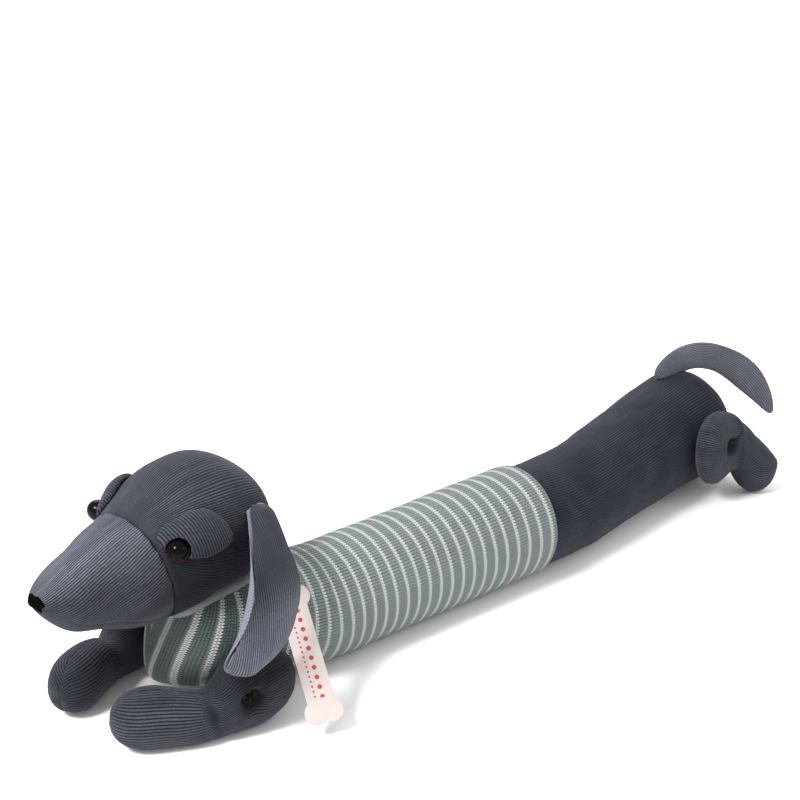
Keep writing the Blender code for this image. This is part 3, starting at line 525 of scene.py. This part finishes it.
chin = stuffed_copy("head_chin", "chin_lining", CHIN_GRAIN, 6)
spots = points_of(chin)
local = in_head(spots)
edge = eased((np.abs(local[:, 1]) - 0.028) / 0.020)
outward = np.sign(local[:, 1]) * CHIN_OUT * edge
spots += np.stack([np.zeros(len(spots)), outward, -CHIN_DOWN * edge], axis=1)
move_points(chin, spots)
chin.data.materials.append(plain_cloth("chin_cloth", CHIN_GREY))
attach(chin, "root")
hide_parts("head_chin")

# The brows: an oval of the same corduroy over each eye, with its ribs turned upright,
# padded a little and stitched down all round. The far one is pressed in by its eye.
BROW_PITCH, BROW_DEPTH = 0.0023, 0.0004
BROW_RAISED, BROW_PRESSED, BROW_SHADE = 0.0040, 0.0045, 0.30
for end in ("left", "right"):
    brow = sewn_copy("brow_" + end, "brow_patch_" + end, 3)
    spots = points_of(brow)
    local = in_head(spots)
    reach = (local - (local.min(axis=0) + local.max(axis=0)) / 2) / (np.ptp(local, axis=0) / 2)
    spots[:, 2] += BROW_RAISED * eased(-reach[:, 2] * 1.3) * eased((reach[:, 0] + 0.1) / 0.7)
    if end == "right":
        eye_middle = points_of(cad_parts["eye_right"]).mean(axis=0)
        from_eye = np.linalg.norm(spots - eye_middle, axis=1)
        inward = turned_head[:, 1] * -BROW_PRESSED
        spots += np.outer(np.exp(-(from_eye / 0.014) ** 2), inward)
    move_points(brow, spots)
    height_share = (local[:, 2] - local[:, 2].min()) / np.ptp(local[:, 2])
    # Painted shade: the brow is darker towards its bottom.
    painted_shade = BROW_SHADE * (1.0 - eased(height_share))
    lay_cloth(brow, local[:, 0] * 0.98 + local[:, 2] * 0.20, local[:, 2], painted_shade)
    brow.data.materials.append(corduroy("brow_corduroy_" + end, pitch=BROW_PITCH, depth=BROW_DEPTH,
                                        **CROWN_SLATE))
    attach(brow, "root")
    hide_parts("brow_" + end)

# The ears: two long flaps, corduroy outside with its ribs running down the ear, and a
# pale finely ribbed lining that shows where the front edge curls outwards.
EAR_SLATE = dict(groove=(0.0300, 0.0325, 0.0450), ridge=(0.2000, 0.2150, 0.2650),
                 rubbed=(0.2750, 0.2920, 0.3450), pitch=0.0023, depth=0.0004)
EAR_SHADE, ROOT_SHADE = 0.20, 0.64          # all over, and how much more towards the root
DENT_ABOVE, DENT_BELOW = 0.0028, 0.0012
LINING_GREY = dict(groove=(0.110, 0.117, 0.140), ridge=(0.175, 0.186, 0.218),
                   rubbed=(0.225, 0.238, 0.272), pitch=0.0018, depth=0.0003)
for end in ("left", "right"):
    outer = sewn_copy("ear_outer_" + end, "ear_outside_" + end, 3)
    spots = points_of(outer)
    local = in_head(spots)
    dent = np.exp(-((local[:, 2] - 0.132 - 0.25 * local[:, 0]) / 0.011) ** 2) * DENT_ABOVE
    dent += np.exp(-((local[:, 2] - 0.098 + 0.35 * local[:, 0]) / 0.016) ** 2) * DENT_BELOW
    spots -= np.outer(dent, (0.0, -1.0 if end == "left" else 1.0, 0.0))
    move_points(outer, spots)
    # Painted shade: a little all over the ear, and more towards its root.
    painted_shade = EAR_SHADE + ROOT_SHADE * eased((local[:, 2] - 0.096) / 0.038)
    lay_cloth(outer, local[:, 0] * 0.96 - local[:, 2] * 0.28, local[:, 2], painted_shade)
    outer.data.materials.append(corduroy("ear_corduroy_" + end, **EAR_SLATE))
    lining = sewn_copy("ear_lining_" + end, "ear_inside_" + end, 3)
    local = in_head(points_of(lining))
    across = (np.abs(local[:, 1]) - local[:, 0]) * 0.80 + local[:, 2] * 0.22
    lay_cloth(lining, across, local[:, 2])
    lining.data.materials.append(corduroy("lining_cloth_" + end, **LINING_GREY))
    for piece, node, slot in ((outer, "ear_outer_", "corduroy_light"),
                              (lining, "ear_lining_", "ear_cloth")):
        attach(piece, "root")
        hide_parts(node + end)

# The legs: two-panel boots, the foot sewn in one with the thigh, drawn in to the tube
# by a thread through the button so that the cloth dimples and its ribs bend to it.
LEGS = {
    "front_leg_left": dict(side=-1, forward=True, toe_in=radians(10), thick=0.054, ankle=0.040,
                           bend=radians(22), button=(0.001, 0.037), fan=0.0),
    "front_leg_right": dict(side=1, forward=True, toe_in=radians(11), thick=0.054, ankle=0.040,
                            bend=radians(22), button=(0.001, 0.037), fan=0.0),
    "hind_leg_left": dict(side=-1, forward=False, toe_in=radians(12), thick=0.038, ankle=0.028,
                          bend=radians(-40), button=(0.002, 0.047), fan=1.0),
    "hind_leg_right": dict(side=1, forward=False, toe_in=radians(20), thick=0.038, ankle=0.034,
                           bend=radians(-40), button=(0.002, 0.036), fan=1.0),
}
LEG_GRAIN, LEG_PITCH = 0.0020, 0.0025
HEEL, TOE = -0.060, 0.125                   # how far a leg is followed each way from its root
SLICE, SLICES = 0.0025, 76
BUTTON_SUNK, DIMPLE = 0.0095, 0.021         # how deep a button sits, and how wide its dimple is
PUCKER_DEPTH, TUCK_DEPTH = 0.0004, 0.0022
THIGH_FALL = 0.0125                         # how far the top of a front thigh is drawn down
HEEL_PLUMP, HEEL_RISE, TOE_FALL = 0.0060, 0.0070, 0.0120
TUCK_WAY = np.array((0.030, 0.020))         # a tuck runs up and back from a hind button
TOP_SHADE, THIGH_SHADE, FAR_SHADE = 0.60, 0.34, 0.35
DIMPLE_SHADE, TUCK_SHADE, ANKLE_SHADE = 0.85, 0.6, 0.75


def leg_frame(node):
    """Matrix from a leg's own places to the model's, whose button looks along local Y."""
    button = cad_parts[node.replace("leg", "button")]
    spec = LEGS[node]
    corners = points_of(button)
    middle = (corners.min(axis=0) + corners.max(axis=0)) / 2
    turn = spec["toe_in"] * (spec["side"] if spec["forward"] else -spec["side"])
    turn += pi if spec["forward"] else 0.0
    mirror = 1 if spec["forward"] == (spec["side"] < 0) else -1
    rotation = Matrix.Rotation(turn, 4, "Z")
    along, up = spec["button"]
    offset = rotation @ Vector((along, mirror * (spec["thick"] / 2 - BUTTON_SUNK), up))
    return Matrix.Translation(Vector(middle) - offset) @ rotation, mirror


for node, spec in LEGS.items():
    leg = stuffed_copy(node, "stuffed_" + node, LEG_GRAIN, 8)
    place, mirror = leg_frame(node)
    spots, facing = points_of(leg), normals_of(leg)
    back = np.array(place.inverted())
    local = spots @ back[:3, :3].T + back[:3, 3]
    local[:, 1] *= mirror

    # Straighten the leg: how far each point lies along it, and out from its outline seam
    steps = np.linspace(HEEL, TOE, 186)
    heading = spec["bend"] * eased((steps - spec["ankle"] + 0.012) / 0.030)
    stride = steps[1] - steps[0]
    path = np.stack([np.cumsum(np.cos(heading)), -np.cumsum(np.sin(heading))], axis=1) * stride
    path -= path[np.argmin(np.abs(steps))]
    nearest = np.empty(len(local), int)
    for start in range(0, len(local), 4000):
        block = local[start:start + 4000, None, :2] - path[None]
        nearest[start:start + 4000] = np.argmin((block ** 2).sum(axis=2), axis=1)
    gap = local[:, :2] - path[nearest]
    along = steps[nearest] + gap[:, 0] * np.cos(heading[nearest]) - gap[:, 1] * np.sin(heading[nearest])
    out = gap[:, 0] * np.sin(heading[nearest]) + gap[:, 1] * np.cos(heading[nearest])

    # Middle, half height and half thickness of the leg at each slice along it
    slice_of = np.clip(((along - HEEL) / SLICE).astype(int), 0, SLICES - 1)
    low, high, wide = (np.full(SLICES, np.nan) for _ in range(3))
    for step in np.unique(slice_of):
        here = slice_of == step
        low[step], high[step] = local[here, 2].min(), local[here, 2].max()
        wide[step] = np.abs(out[here]).max()
    known = ~np.isnan(low)
    ruler = np.arange(SLICES)
    low, high, wide = (np.convolve(np.pad(np.interp(ruler, ruler[known], line[known]), 2, mode="edge"),
                                   np.ones(5) / 5, "valid") for line in (low, high, wide))
    at = (along - HEEL) / SLICE - 0.5
    centre_line = np.interp(at, ruler, (low + high) / 2)
    half_height = np.interp(at, ruler, (high - low) / 2)
    half_thick = np.interp(at, ruler, wide)
    level = (local[:, 2] - centre_line) / np.maximum(half_height, 0.004)
    apart = np.abs(out) / np.maximum(half_thick, 0.004)

    # The ribs run along the leg, crowd at the button, and fan round it on a hind leg
    button_at, button_high = spec["button"]
    ahead, above = along - button_at, local[:, 2] - button_high
    near = np.hypot(ahead, above)
    angle = np.arctan2(above, ahead)
    undimpled = np.maximum(apart, np.sqrt(np.clip(1.0 - level ** 2, 0.0, 1.0)))
    round_turn = np.arctan2(level, apart + (undimpled - apart) * np.exp(-(near / DIMPLE) ** 4))
    rise = round_turn * half_height * 0.85
    button_middle = np.interp((button_at - HEEL) / SLICE - 0.5, ruler, (low + high) / 2)
    lengthwise = rise + (button_middle - button_high) * eased((0.04 - ahead) / 0.04)
    lengthwise *= 1.0 + 0.8 * np.exp(-(near / 0.020) ** 2)
    fan = spec["fan"] * eased((0.014 - ahead) / 0.034)
    across = lengthwise * (1.0 - fan) + fan * 0.034 * angle

    # Folds round the button and at the ankle, the edge seam and its puckers, a hind tuck
    outside = np.clip(out / (spec["thick"] / 2), 0.0, 1.0)
    folds = (0.5 + 0.5 * np.cos(angle * 8.0 + 0.6)) * np.exp(-((near - DIMPLE) / 0.010) ** 2) * outside
    fold_at = spec["ankle"] - (0.009 if spec["forward"] else -0.002)
    ankle_fold = np.exp(-((along - fold_at - 0.003 * level) / 0.0040) ** 2)
    ankle_fold *= outside * np.clip(1.25 - np.abs(level - 0.35), 0.0, 1.0)
    tuck_share = np.clip((ahead * TUCK_WAY[0] + above * TUCK_WAY[1]) / (TUCK_WAY @ TUCK_WAY), 0.15, 1.0)
    to_tuck = np.hypot(ahead - tuck_share * TUCK_WAY[0], above - tuck_share * TUCK_WAY[1])
    tuck = np.exp(-(to_tuck / 0.0018) ** 2) * outside * (1.0 - 0.7 * tuck_share) * spec["fan"]
    edge_seam = np.exp(-(out / 0.0011) ** 2)
    pucker = np.exp(-(out / 0.0060) ** 2) * (0.5 + 0.5 * np.sin((along + local[:, 2]) * tau / 0.0075))
    fold_depth, ankle_depth, seam_depth = ((0.0010, 0.0075, 0.0005) if spec["forward"]
                                           else (0.0008, 0.0010, 0.0012))
    pressed_in = (folds * fold_depth + ankle_fold * ankle_depth + edge_seam * seam_depth
                  + pucker * PUCKER_DEPTH + tuck * TUCK_DEPTH)

    # A front thigh falls away to its foot; a hind foot is plump at its heel and slopes down
    if spec["forward"]:
        fall = THIGH_FALL * np.exp(-((along - 0.022) / 0.016) ** 2)
        spots[:, 2] -= fall * eased((level + 0.25) / 1.25)
    else:
        turned = heading[nearest]
        out_way = np.stack([np.sin(turned), mirror * np.cos(turned), np.zeros(len(turned))], axis=1)
        out_way = out_way @ np.array(place)[:3, :3].T
        plump = HEEL_PLUMP * np.exp(-((along - 0.030) / 0.016) ** 2) * eased(out / 0.012)
        raised = HEEL_RISE * np.exp(-((along - 0.050) / 0.009) ** 2)
        raised -= TOE_FALL * eased((along - 0.056) / 0.028)
        raised *= eased((local[:, 2] - centre_line + 0.006) / 0.032)
        spots += out_way * plump[:, None] + np.outer(raised, (0.0, 0.0, 1.0))
    spots -= facing * pressed_in[:, None]
    spots += facing * (lumps(spots, 0.028, 4.0) * 0.0009)[:, None]
    spots[:, 2] = np.maximum(spots[:, 2], 0.0)
    move_points(leg, spots)

    # Painted shade: the pile is darker at the top of a front thigh, on the far front leg, in the dimples
    # and in the folds
    painted_shade = TOP_SHADE * eased((0.030 - along) / 0.030) * eased((above + 0.002) / 0.022) * spec["forward"]
    painted_shade += THIGH_SHADE * eased((spec["ankle"] - 0.006 - along) / 0.012) * spec["forward"]
    painted_shade += FAR_SHADE if node == "front_leg_right" else 0.0
    painted_shade += DIMPLE_SHADE * np.exp(-(near / 0.0115) ** 4) * outside
    painted_shade += TUCK_SHADE * tuck + ANKLE_SHADE * ankle_fold * spec["forward"]
    painted_shade = np.clip(painted_shade, 0.0, 0.92)
    lay_cloth(leg, across, along, painted_shade)
    leg.data.materials.append(corduroy("corduroy_" + node, pitch=LEG_PITCH, **CROWN_SLATE))
    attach(leg, "root")
    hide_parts(node)

# The tail: a flat padded sickle of corduroy, sewn on at the top of the rump so that it
# stands up and droops backwards. Its ribs run along it.
TAIL_BENDS = np.array([(-0.023, 0.012, -0.010), (0.001, 0.006, 0.044),
                       (0.085, -0.026, 0.014), (0.119, -0.046, -0.067)])
TAIL_STEPS, TAIL_STEP, TIP_BROADER = 120, 0.0016, 0.35
TAIL_SLATE = dict(groove=(0.0480, 0.0510, 0.0640), ridge=(0.1180, 0.1260, 0.1550),
                  rubbed=(0.1750, 0.1850, 0.2200), pitch=0.0019, depth=0.0003)
tail = sewn_copy("tail", "padded_tail", 3)
spots = points_of(tail)
rump_side, rump_middle = tube_middle(np.array(TUBE_END - RUMP_CAP))
tail_root = np.array([TUBE_END - RUMP_CAP + SHIFT.x, float(rump_side), float(rump_middle) + RUMP_RADIUS])
t = np.linspace(0.0, 1.0, TAIL_STEPS + 1)[:, None]
path = tail_root + (TAIL_BENDS[0] * (1 - t) ** 3 + TAIL_BENDS[1] * 3 * (1 - t) ** 2 * t
                    + TAIL_BENDS[2] * 3 * (1 - t) * t ** 2 + TAIL_BENDS[3] * t ** 3)
ahead = np.gradient(path, axis=0)
ahead /= np.linalg.norm(ahead, axis=1)[:, None]
flat = np.cross((0.0, 0.0, 1.0), ahead)
flat /= np.linalg.norm(flat, axis=1)[:, None]
broad = np.cross(ahead, flat)
nearest = np.argmin(((spots[:, None] - path[None]) ** 2).sum(axis=2), axis=1)
offset = ((spots - path[nearest]) * broad[nearest]).sum(axis=1)
lay_cloth(tail, offset, nearest * TAIL_STEP)
broader = TIP_BROADER * eased((nearest / TAIL_STEPS - 0.50) / 0.35)
spots += broad[nearest] * (offset * broader)[:, None]
move_points(tail, spots)
tail.data.materials.append(corduroy("tail_corduroy", **TAIL_SLATE))
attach(tail, "root")
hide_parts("tail")

# The eyes: domed glossy plastic with a dark red-brown iris round a wide black pupil,
# each pressed into the corner of its brow. Light is painted on the iris's lower half, more on the near
# eye.
PUPIL_EDGE, IRIS_EDGE, RIM_AT = 0.0068, 0.0084, 0.0091
PUPIL_BLACK, RIM_BROWN = (0.0010, 0.0010, 0.0013), (0.006, 0.003, 0.003)
IRIS_DARK, IRIS_LIT_RED = (0.0050, 0.0022, 0.0022), (0.040, 0.010, 0.009)
EYE_SET = {"left": dict(way=-1, bulge=0.15, push=0.0012, painted_light=1.0),
           "right": dict(way=1, bulge=0.25, push=0.0034, painted_light=0.35)}


def turning_axis(node):
    """Middle and outward direction of a turned part that points away from the tube."""
    spots = np.unique(np.round(points_of(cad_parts[node]), 6), axis=0)
    middle = spots.mean(axis=0)
    sizes, lines = np.linalg.eigh(np.cov((spots - middle).T))
    axis = lines[:, 2] if abs(sizes[1] - sizes[0]) < abs(sizes[2] - sizes[1]) else lines[:, 0]
    reach = (spots - middle) @ axis
    wide = np.linalg.norm(spots - middle - reach[:, None] * axis, axis=1)
    if wide[reach > 0].max() < wide[reach < 0].max() - 0.0002:
        axis = -axis
    return middle, axis


def eye_plastic(name):
    """Black pupil, flecked iris with painted light towards its lower half, and a dark rim."""
    made, tree, shader = new_material(name)
    from_pupil, _, painted_light = cloth_places(tree)
    fleck = spread(tree, blotches(tree, 0.0016, 3.0), 0.3, 0.7, -0.0004, 0.0004)
    iris = spread(tree, sum_node(tree, "ADD", from_pupil, fleck), PUPIL_EDGE, IRIS_EDGE)
    # painted light: the iris is lighter red where light through the dome falls on it
    ring = mixed(tree, painted_light, IRIS_DARK, IRIS_LIT_RED)
    tone = mixed(tree, iris, PUPIL_BLACK, ring)
    edge = spread(tree, from_pupil, RIM_AT, RIM_AT + 0.0006)
    tree.links.new(mixed(tree, edge, tone, RIM_BROWN), shader.inputs["Base Color"])
    shader.inputs["Roughness"].default_value = 0.06
    shader.inputs["Specular IOR Level"].default_value = 0.08
    roughen(tree, shader, blotches(tree, 0.0030, 2.0), 0.05, 0.0002)
    return made


for end, set_in in EYE_SET.items():
    eye = sewn_copy("eye_" + end, "glossy_eye_" + end, 3)
    middle, axis = turning_axis("eye_" + end)
    if (axis @ turned_head)[1] * set_in["way"] < 0:
        axis = -axis
    spots = points_of(eye)
    reach = (spots - middle) @ axis
    from_axis = np.linalg.norm(spots - middle - reach[:, None] * axis, axis=1)
    # painted light on the iris's lower half, weaker on the far eye
    painted_light = eased((0.004 - (spots[:, 2] - middle[2])) / 0.010) * set_in["painted_light"]
    spots += np.outer((set_in["push"] + set_in["bulge"] * reach) * (reach > 0.0), axis)
    move_points(eye, spots)
    lay_cloth(eye, from_axis, reach, painted_light)
    eye.data.materials.append(eye_plastic("eye_plastic_" + end))
    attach(eye, "root")
    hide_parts("eye_" + end)

# The nose: a small three-cornered pad of black felt, sewn over the tip of the snout.
# Its corners point down and to both sides.
FELT_BLACK = (0.0016, 0.0016, 0.0020)
nose = sewn_copy("nose", "felt_nose", 3)
nose_spots = points_of(nose)
nose_local = in_head(nose_spots)
nose_middle = (nose_local.min(axis=0) + nose_local.max(axis=0)) / 2
reach = (nose_local - nose_middle) / (np.ptp(nose_local, axis=0) / 2)
three_corners = np.cos(3.0 * (np.arctan2(reach[:, 2], reach[:, 1]) + pi / 2))
grow = (0.14 + 0.22 * three_corners) * np.clip(np.hypot(reach[:, 1], reach[:, 2]), 0.0, 1.0)
grown = (nose_local - nose_middle) * grow[:, None]
grown[:, 0] = 0.0012 + 0.0022 * np.clip(grow, 0.0, None) / 0.28
nose_spots += grown @ turned_head.T
move_points(nose, nose_spots)
nose.data.materials.append(plain_cloth("black_felt", FELT_BLACK, size=0.0007, gleam=0.03))
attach(nose, "root")
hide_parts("nose")

# The buttons: dark moulded plastic with a raised rim and four holes, held deep in each
# leg's dimple by a few turns of dark thread that cross in its middle.


def moulded(name, colour, roughness, gleam):
    """Moulded plastic, its colour and gloss worn unevenly."""
    made, tree, shader = new_material(name)
    wear = blotches(tree, 0.004, 4.0)
    light = tuple(min(1.0, channel * 1.7) for channel in colour)
    tree.links.new(mixed(tree, spread(tree, wear, 0.40, 0.75), colour, light), shader.inputs["Base Color"])
    tree.links.new(spread(tree, wear, 0.3, 0.7, roughness, roughness + 0.15), shader.inputs["Roughness"])
    shader.inputs["Specular IOR Level"].default_value = gleam
    roughen(tree, shader, blotches(tree, 0.0012, 2.0), 0.15, 0.0002)
    return made


BUTTON_RADIUS, BUTTON_THICK = 0.0082, 0.0032
HOLES, HOLE_RADIUS, HOLES_AT = 4, 0.0010, 0.0024
STRAND_BEADS, STRAND_RADIUS, STRAND_REACH = 12, 0.00042, 0.0026
BUTTON_BLACK, THREAD_GREY = (0.0014, 0.0014, 0.0017), (0.009, 0.010, 0.013)
button_outline = ((0.0, 0.0), (0.0070, 0.0), (0.0079, 0.0005), (BUTTON_RADIUS, 0.0013),
                  (BUTTON_RADIUS, 0.0022), (0.0079, 0.0029), (0.0073, BUTTON_THICK), (0.0067, 0.0029),
                  (0.0063, 0.0022), (0.0055, 0.0018), (0.0, 0.0017))
for node in LEGS:
    label = node.replace("leg", "button")
    middle, axis = turning_axis(label)
    if axis[1] * LEGS[node]["side"] < 0:
        axis = -axis
    seat = Vector(middle) - Vector(axis) * (BUTTON_THICK / 2 + 0.0002)
    stand = Matrix.Translation(seat) @ Vector(axis).to_track_quat("Z", "Y").to_matrix().to_4x4()
    mesh = bpy.data.meshes.new("sewn_" + label)
    mesh.from_pydata([(radius, 0.0, height) for radius, height in reversed(button_outline)],
                     [(i, i + 1) for i in range(len(button_outline) - 1)], [])
    button = bpy.data.objects.new("sewn_" + label, mesh)
    scene.collection.objects.link(button)
    finish_modifier(button, "SCREW", steps=48, render_steps=48, use_merge_vertices=True,
                    merge_threshold=0.00001, use_smooth_shade=True)
    drills = bmesh.new()
    for hole in range(HOLES):
        turn = pi / 4 + hole * tau / HOLES
        spot = Vector((cos(turn), sin(turn), 0.0)) * HOLES_AT
        bmesh.ops.create_cone(drills, cap_ends=True, segments=16, radius1=HOLE_RADIUS,
                              radius2=HOLE_RADIUS, depth=0.012, matrix=Matrix.Translation(spot))
    drill_mesh = bpy.data.meshes.new("drill")
    drills.to_mesh(drill_mesh)
    drills.free()
    drill = bpy.data.objects.new("drill", drill_mesh)
    scene.collection.objects.link(drill)
    finish_modifier(button, "BOOLEAN", operation="DIFFERENCE", solver="EXACT", object=drill)
    bpy.data.objects.remove(drill, do_unlink=True)
    button.data.transform(stand)
    button.data.materials.append(moulded("button_plastic_" + label, BUTTON_BLACK, 0.24, 0.10))
    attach(button, "root")
    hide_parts(label)

    strands = bmesh.new()
    for turn, lift in ((0, 0.00195), (1, 0.00235)):
        for side_step in (-0.00035, 0.00035):
            for bead in range(STRAND_BEADS):
                spot = -1.0 + 2.0 * (bead + 0.5) / STRAND_BEADS
                height = lift + 0.0006 * (1.0 - spot ** 4) - 0.0016 * abs(spot) ** 6
                grain = (Matrix.Rotation(pi / 4 + turn * pi / 2, 4, "Z")
                         @ Matrix.Translation((spot * STRAND_REACH, side_step, height)))
                bmesh.ops.create_icosphere(strands, subdivisions=2, radius=STRAND_RADIUS,
                                           matrix=grain @ Matrix.Diagonal((1.0, 0.75, 0.75, 1.0)))
    strand_mesh = bpy.data.meshes.new("thread_" + label)
    strands.to_mesh(strand_mesh)
    strands.free()
    strand_mesh.transform(stand)
    strand_mesh.shade_smooth()
    thread = bpy.data.objects.new("thread_" + label, strand_mesh)
    scene.collection.objects.link(thread)
    thread.data.materials.append(plain_cloth("button_thread_" + label, THREAD_GREY, size=0.0004))
    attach(thread, "root")

# The swing tag: a bone punched out of pale pink card, printed with plain red dots, on a
# short white twisted thread knotted in front of it and sewn into the jumper.
TAG_LONG, LOBE, SHANK, LOBE_APART = 0.117, 0.0095, 0.0135, 0.72
TAG_HOLE, ARC_POINTS = 0.0020, 28
CARD_HALF, CARD_EDGE = 0.00028, 0.00012     # half the card's thickness, and its worn edge
DOT_ROWS = ((0.0022, 0.0082, 0.0022), (-0.0040, 0.0042, 0.0010))    # place, spacing, radius
DOTS_END = 0.0375
CARD_PINK, CARD_SHADE, CARD_FIBRE = (0.52, 0.46, 0.435), (0.46, 0.40, 0.375), (0.42, 0.35, 0.34)
DOT_RED = (0.36, 0.035, 0.050)
TWIST_SHADE, TWIST_WHITE = (0.55, 0.53, 0.50), (0.86, 0.85, 0.82)


def bone_outline():
    """Outline of the bone, with rounder lobes than the solid model's."""
    half_long, aside = TAG_LONG / 2 - LOBE, LOBE * LOBE_APART
    meet = np.arcsin(min(1.0, (SHANK / 2 - aside) / LOBE))
    corners = []
    for end, side in ((1, 1), (1, -1), (-1, -1), (-1, 1)):
        arc = np.linspace(-pi / 2 + 0.55 + meet, pi / 2 + np.arcsin(LOBE_APART), ARC_POINTS)
        lobe = [(side * (aside + LOBE * cos(a)), end * (half_long + LOBE * sin(a))) for a in arc]
        corners += lobe[::-1] if end * side < 0 else lobe
    return corners


spots = points_of(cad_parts["swing_tag"])
middle = spots.mean(axis=0)
lines = np.linalg.eigh(np.cov((spots - middle).T))[1]
up, face = lines[:, 2], lines[:, 0]
up = up if up[2] > 0 else -up
face = face if face[1] < 0 else -face
turned_card = np.stack([np.cross(up, face), up, face], axis=1)
reach = (spots - middle) @ turned_card
middle = middle + turned_card @ ((reach.min(axis=0) + reach.max(axis=0)) / 2)
rows = [[*row, offset] for row, offset in zip(turned_card.tolist(), middle.tolist())]
card_place = Matrix(rows + [[0.0, 0.0, 0.0, 1.0]])
shape = bpy.data.curves.new("card_outline", "CURVE")
shape.dimensions = "2D"
shape.fill_mode = "BOTH"
shape.extrude = CARD_HALF
shape.bevel_depth = CARD_EDGE
shape.bevel_resolution = 2
hole_high = TAG_LONG / 2 - LOBE * 0.95
hole_turns = [tau * i / ARC_POINTS for i in range(ARC_POINTS)]
hole_rim = [(TAG_HOLE * cos(turn), hole_high + TAG_HOLE * sin(turn)) for turn in hole_turns]
for outline in (bone_outline(), hole_rim):
    line = shape.splines.new("POLY")
    line.points.add(len(outline) - 1)
    for point, (x, y) in zip(line.points, outline):
        point.co = (x, y, 0.0, 1.0)
    line.use_cyclic_u = True
flat_card = bpy.data.objects.new("flat_card", shape)
scene.collection.objects.link(flat_card)
bpy.context.view_layer.update()
flat_made = flat_card.evaluated_get(bpy.context.evaluated_depsgraph_get())
card_mesh = bpy.data.meshes.new_from_object(flat_made)
bpy.data.objects.remove(flat_card, do_unlink=True)
card_mesh.materials.clear()
card = bpy.data.objects.new("bone_swing_tag", card_mesh)
scene.collection.objects.link(card)
flat_spots = points_of(card)
lay_cloth(card, flat_spots[:, 0], flat_spots[:, 1], flat_spots[:, 2])
card_mesh.transform(card_place)
card_paper, tree, shader = new_material("pale_card")
fibre = blotches(tree, 0.0007, 4.0)
cloud = blotches(tree, 0.02, 2.0)
tone = mixed(tree, spread(tree, cloud, 0.3, 0.7), CARD_SHADE, CARD_PINK)
tone = mixed(tree, spread(tree, fibre, 0.35, 0.65, 0.0, 0.12), tone, CARD_FIBRE)
card_across, card_up, card_front = cloth_places(tree)
inked = None
for row_at, pitch, radius in DOT_ROWS:
    step = sum_node(tree, "FRACT", sum_node(tree, "MULTIPLY", card_up, value=1.0 / pitch))
    step = sum_node(tree, "MULTIPLY", sum_node(tree, "SUBTRACT", step, value=0.5), value=pitch)
    aside = sum_node(tree, "SUBTRACT", card_across, value=row_at)
    square = sum_node(tree, "ADD", sum_node(tree, "MULTIPLY", step, step),
                      sum_node(tree, "MULTIPLY", aside, aside))
    ring = spread(tree, sum_node(tree, "SQRT", square), radius * 0.85, radius, 1.0, 0.0)
    inked = ring if inked is None else sum_node(tree, "MAXIMUM", inked, ring)
within = spread(tree, sum_node(tree, "ABSOLUTE", card_up), DOTS_END, DOTS_END + 0.0005, 1.0, 0.0)
front = spread(tree, card_front, 0.0001, 0.0003)
inked = sum_node(tree, "MULTIPLY", sum_node(tree, "MULTIPLY", inked, within), front)
tree.links.new(mixed(tree, inked, tone, DOT_RED), shader.inputs["Base Color"])
shader.inputs["Roughness"].default_value = 0.7
roughen(tree, shader, fibre, 0.2, 0.0001)
card.data.materials.append(card_paper)
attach(card, "root")
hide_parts("swing_tag")

tie = sewn_copy("tag_tie", "tag_thread", 2)
twisted, tree, shader = new_material("twisted_thread")
place = tree.nodes.new("ShaderNodeTexCoord")
twist = tree.nodes.new("ShaderNodeTexWave")
twist.inputs["Scale"].default_value = 420.0
twist.inputs["Distortion"].default_value = 1.5
twist.bands_direction = "DIAGONAL"
tree.links.new(place.outputs["Object"], twist.inputs["Vector"])
strand = mixed(tree, twist.outputs["Fac"], TWIST_SHADE, TWIST_WHITE)
tree.links.new(strand, shader.inputs["Base Color"])
roughen(tree, shader, twist.outputs["Fac"], 0.6, 0.0003)
shader.inputs["Roughness"].default_value = 0.9
tie.data.materials.append(twisted)
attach(tie, "root")
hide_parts("tag_tie")
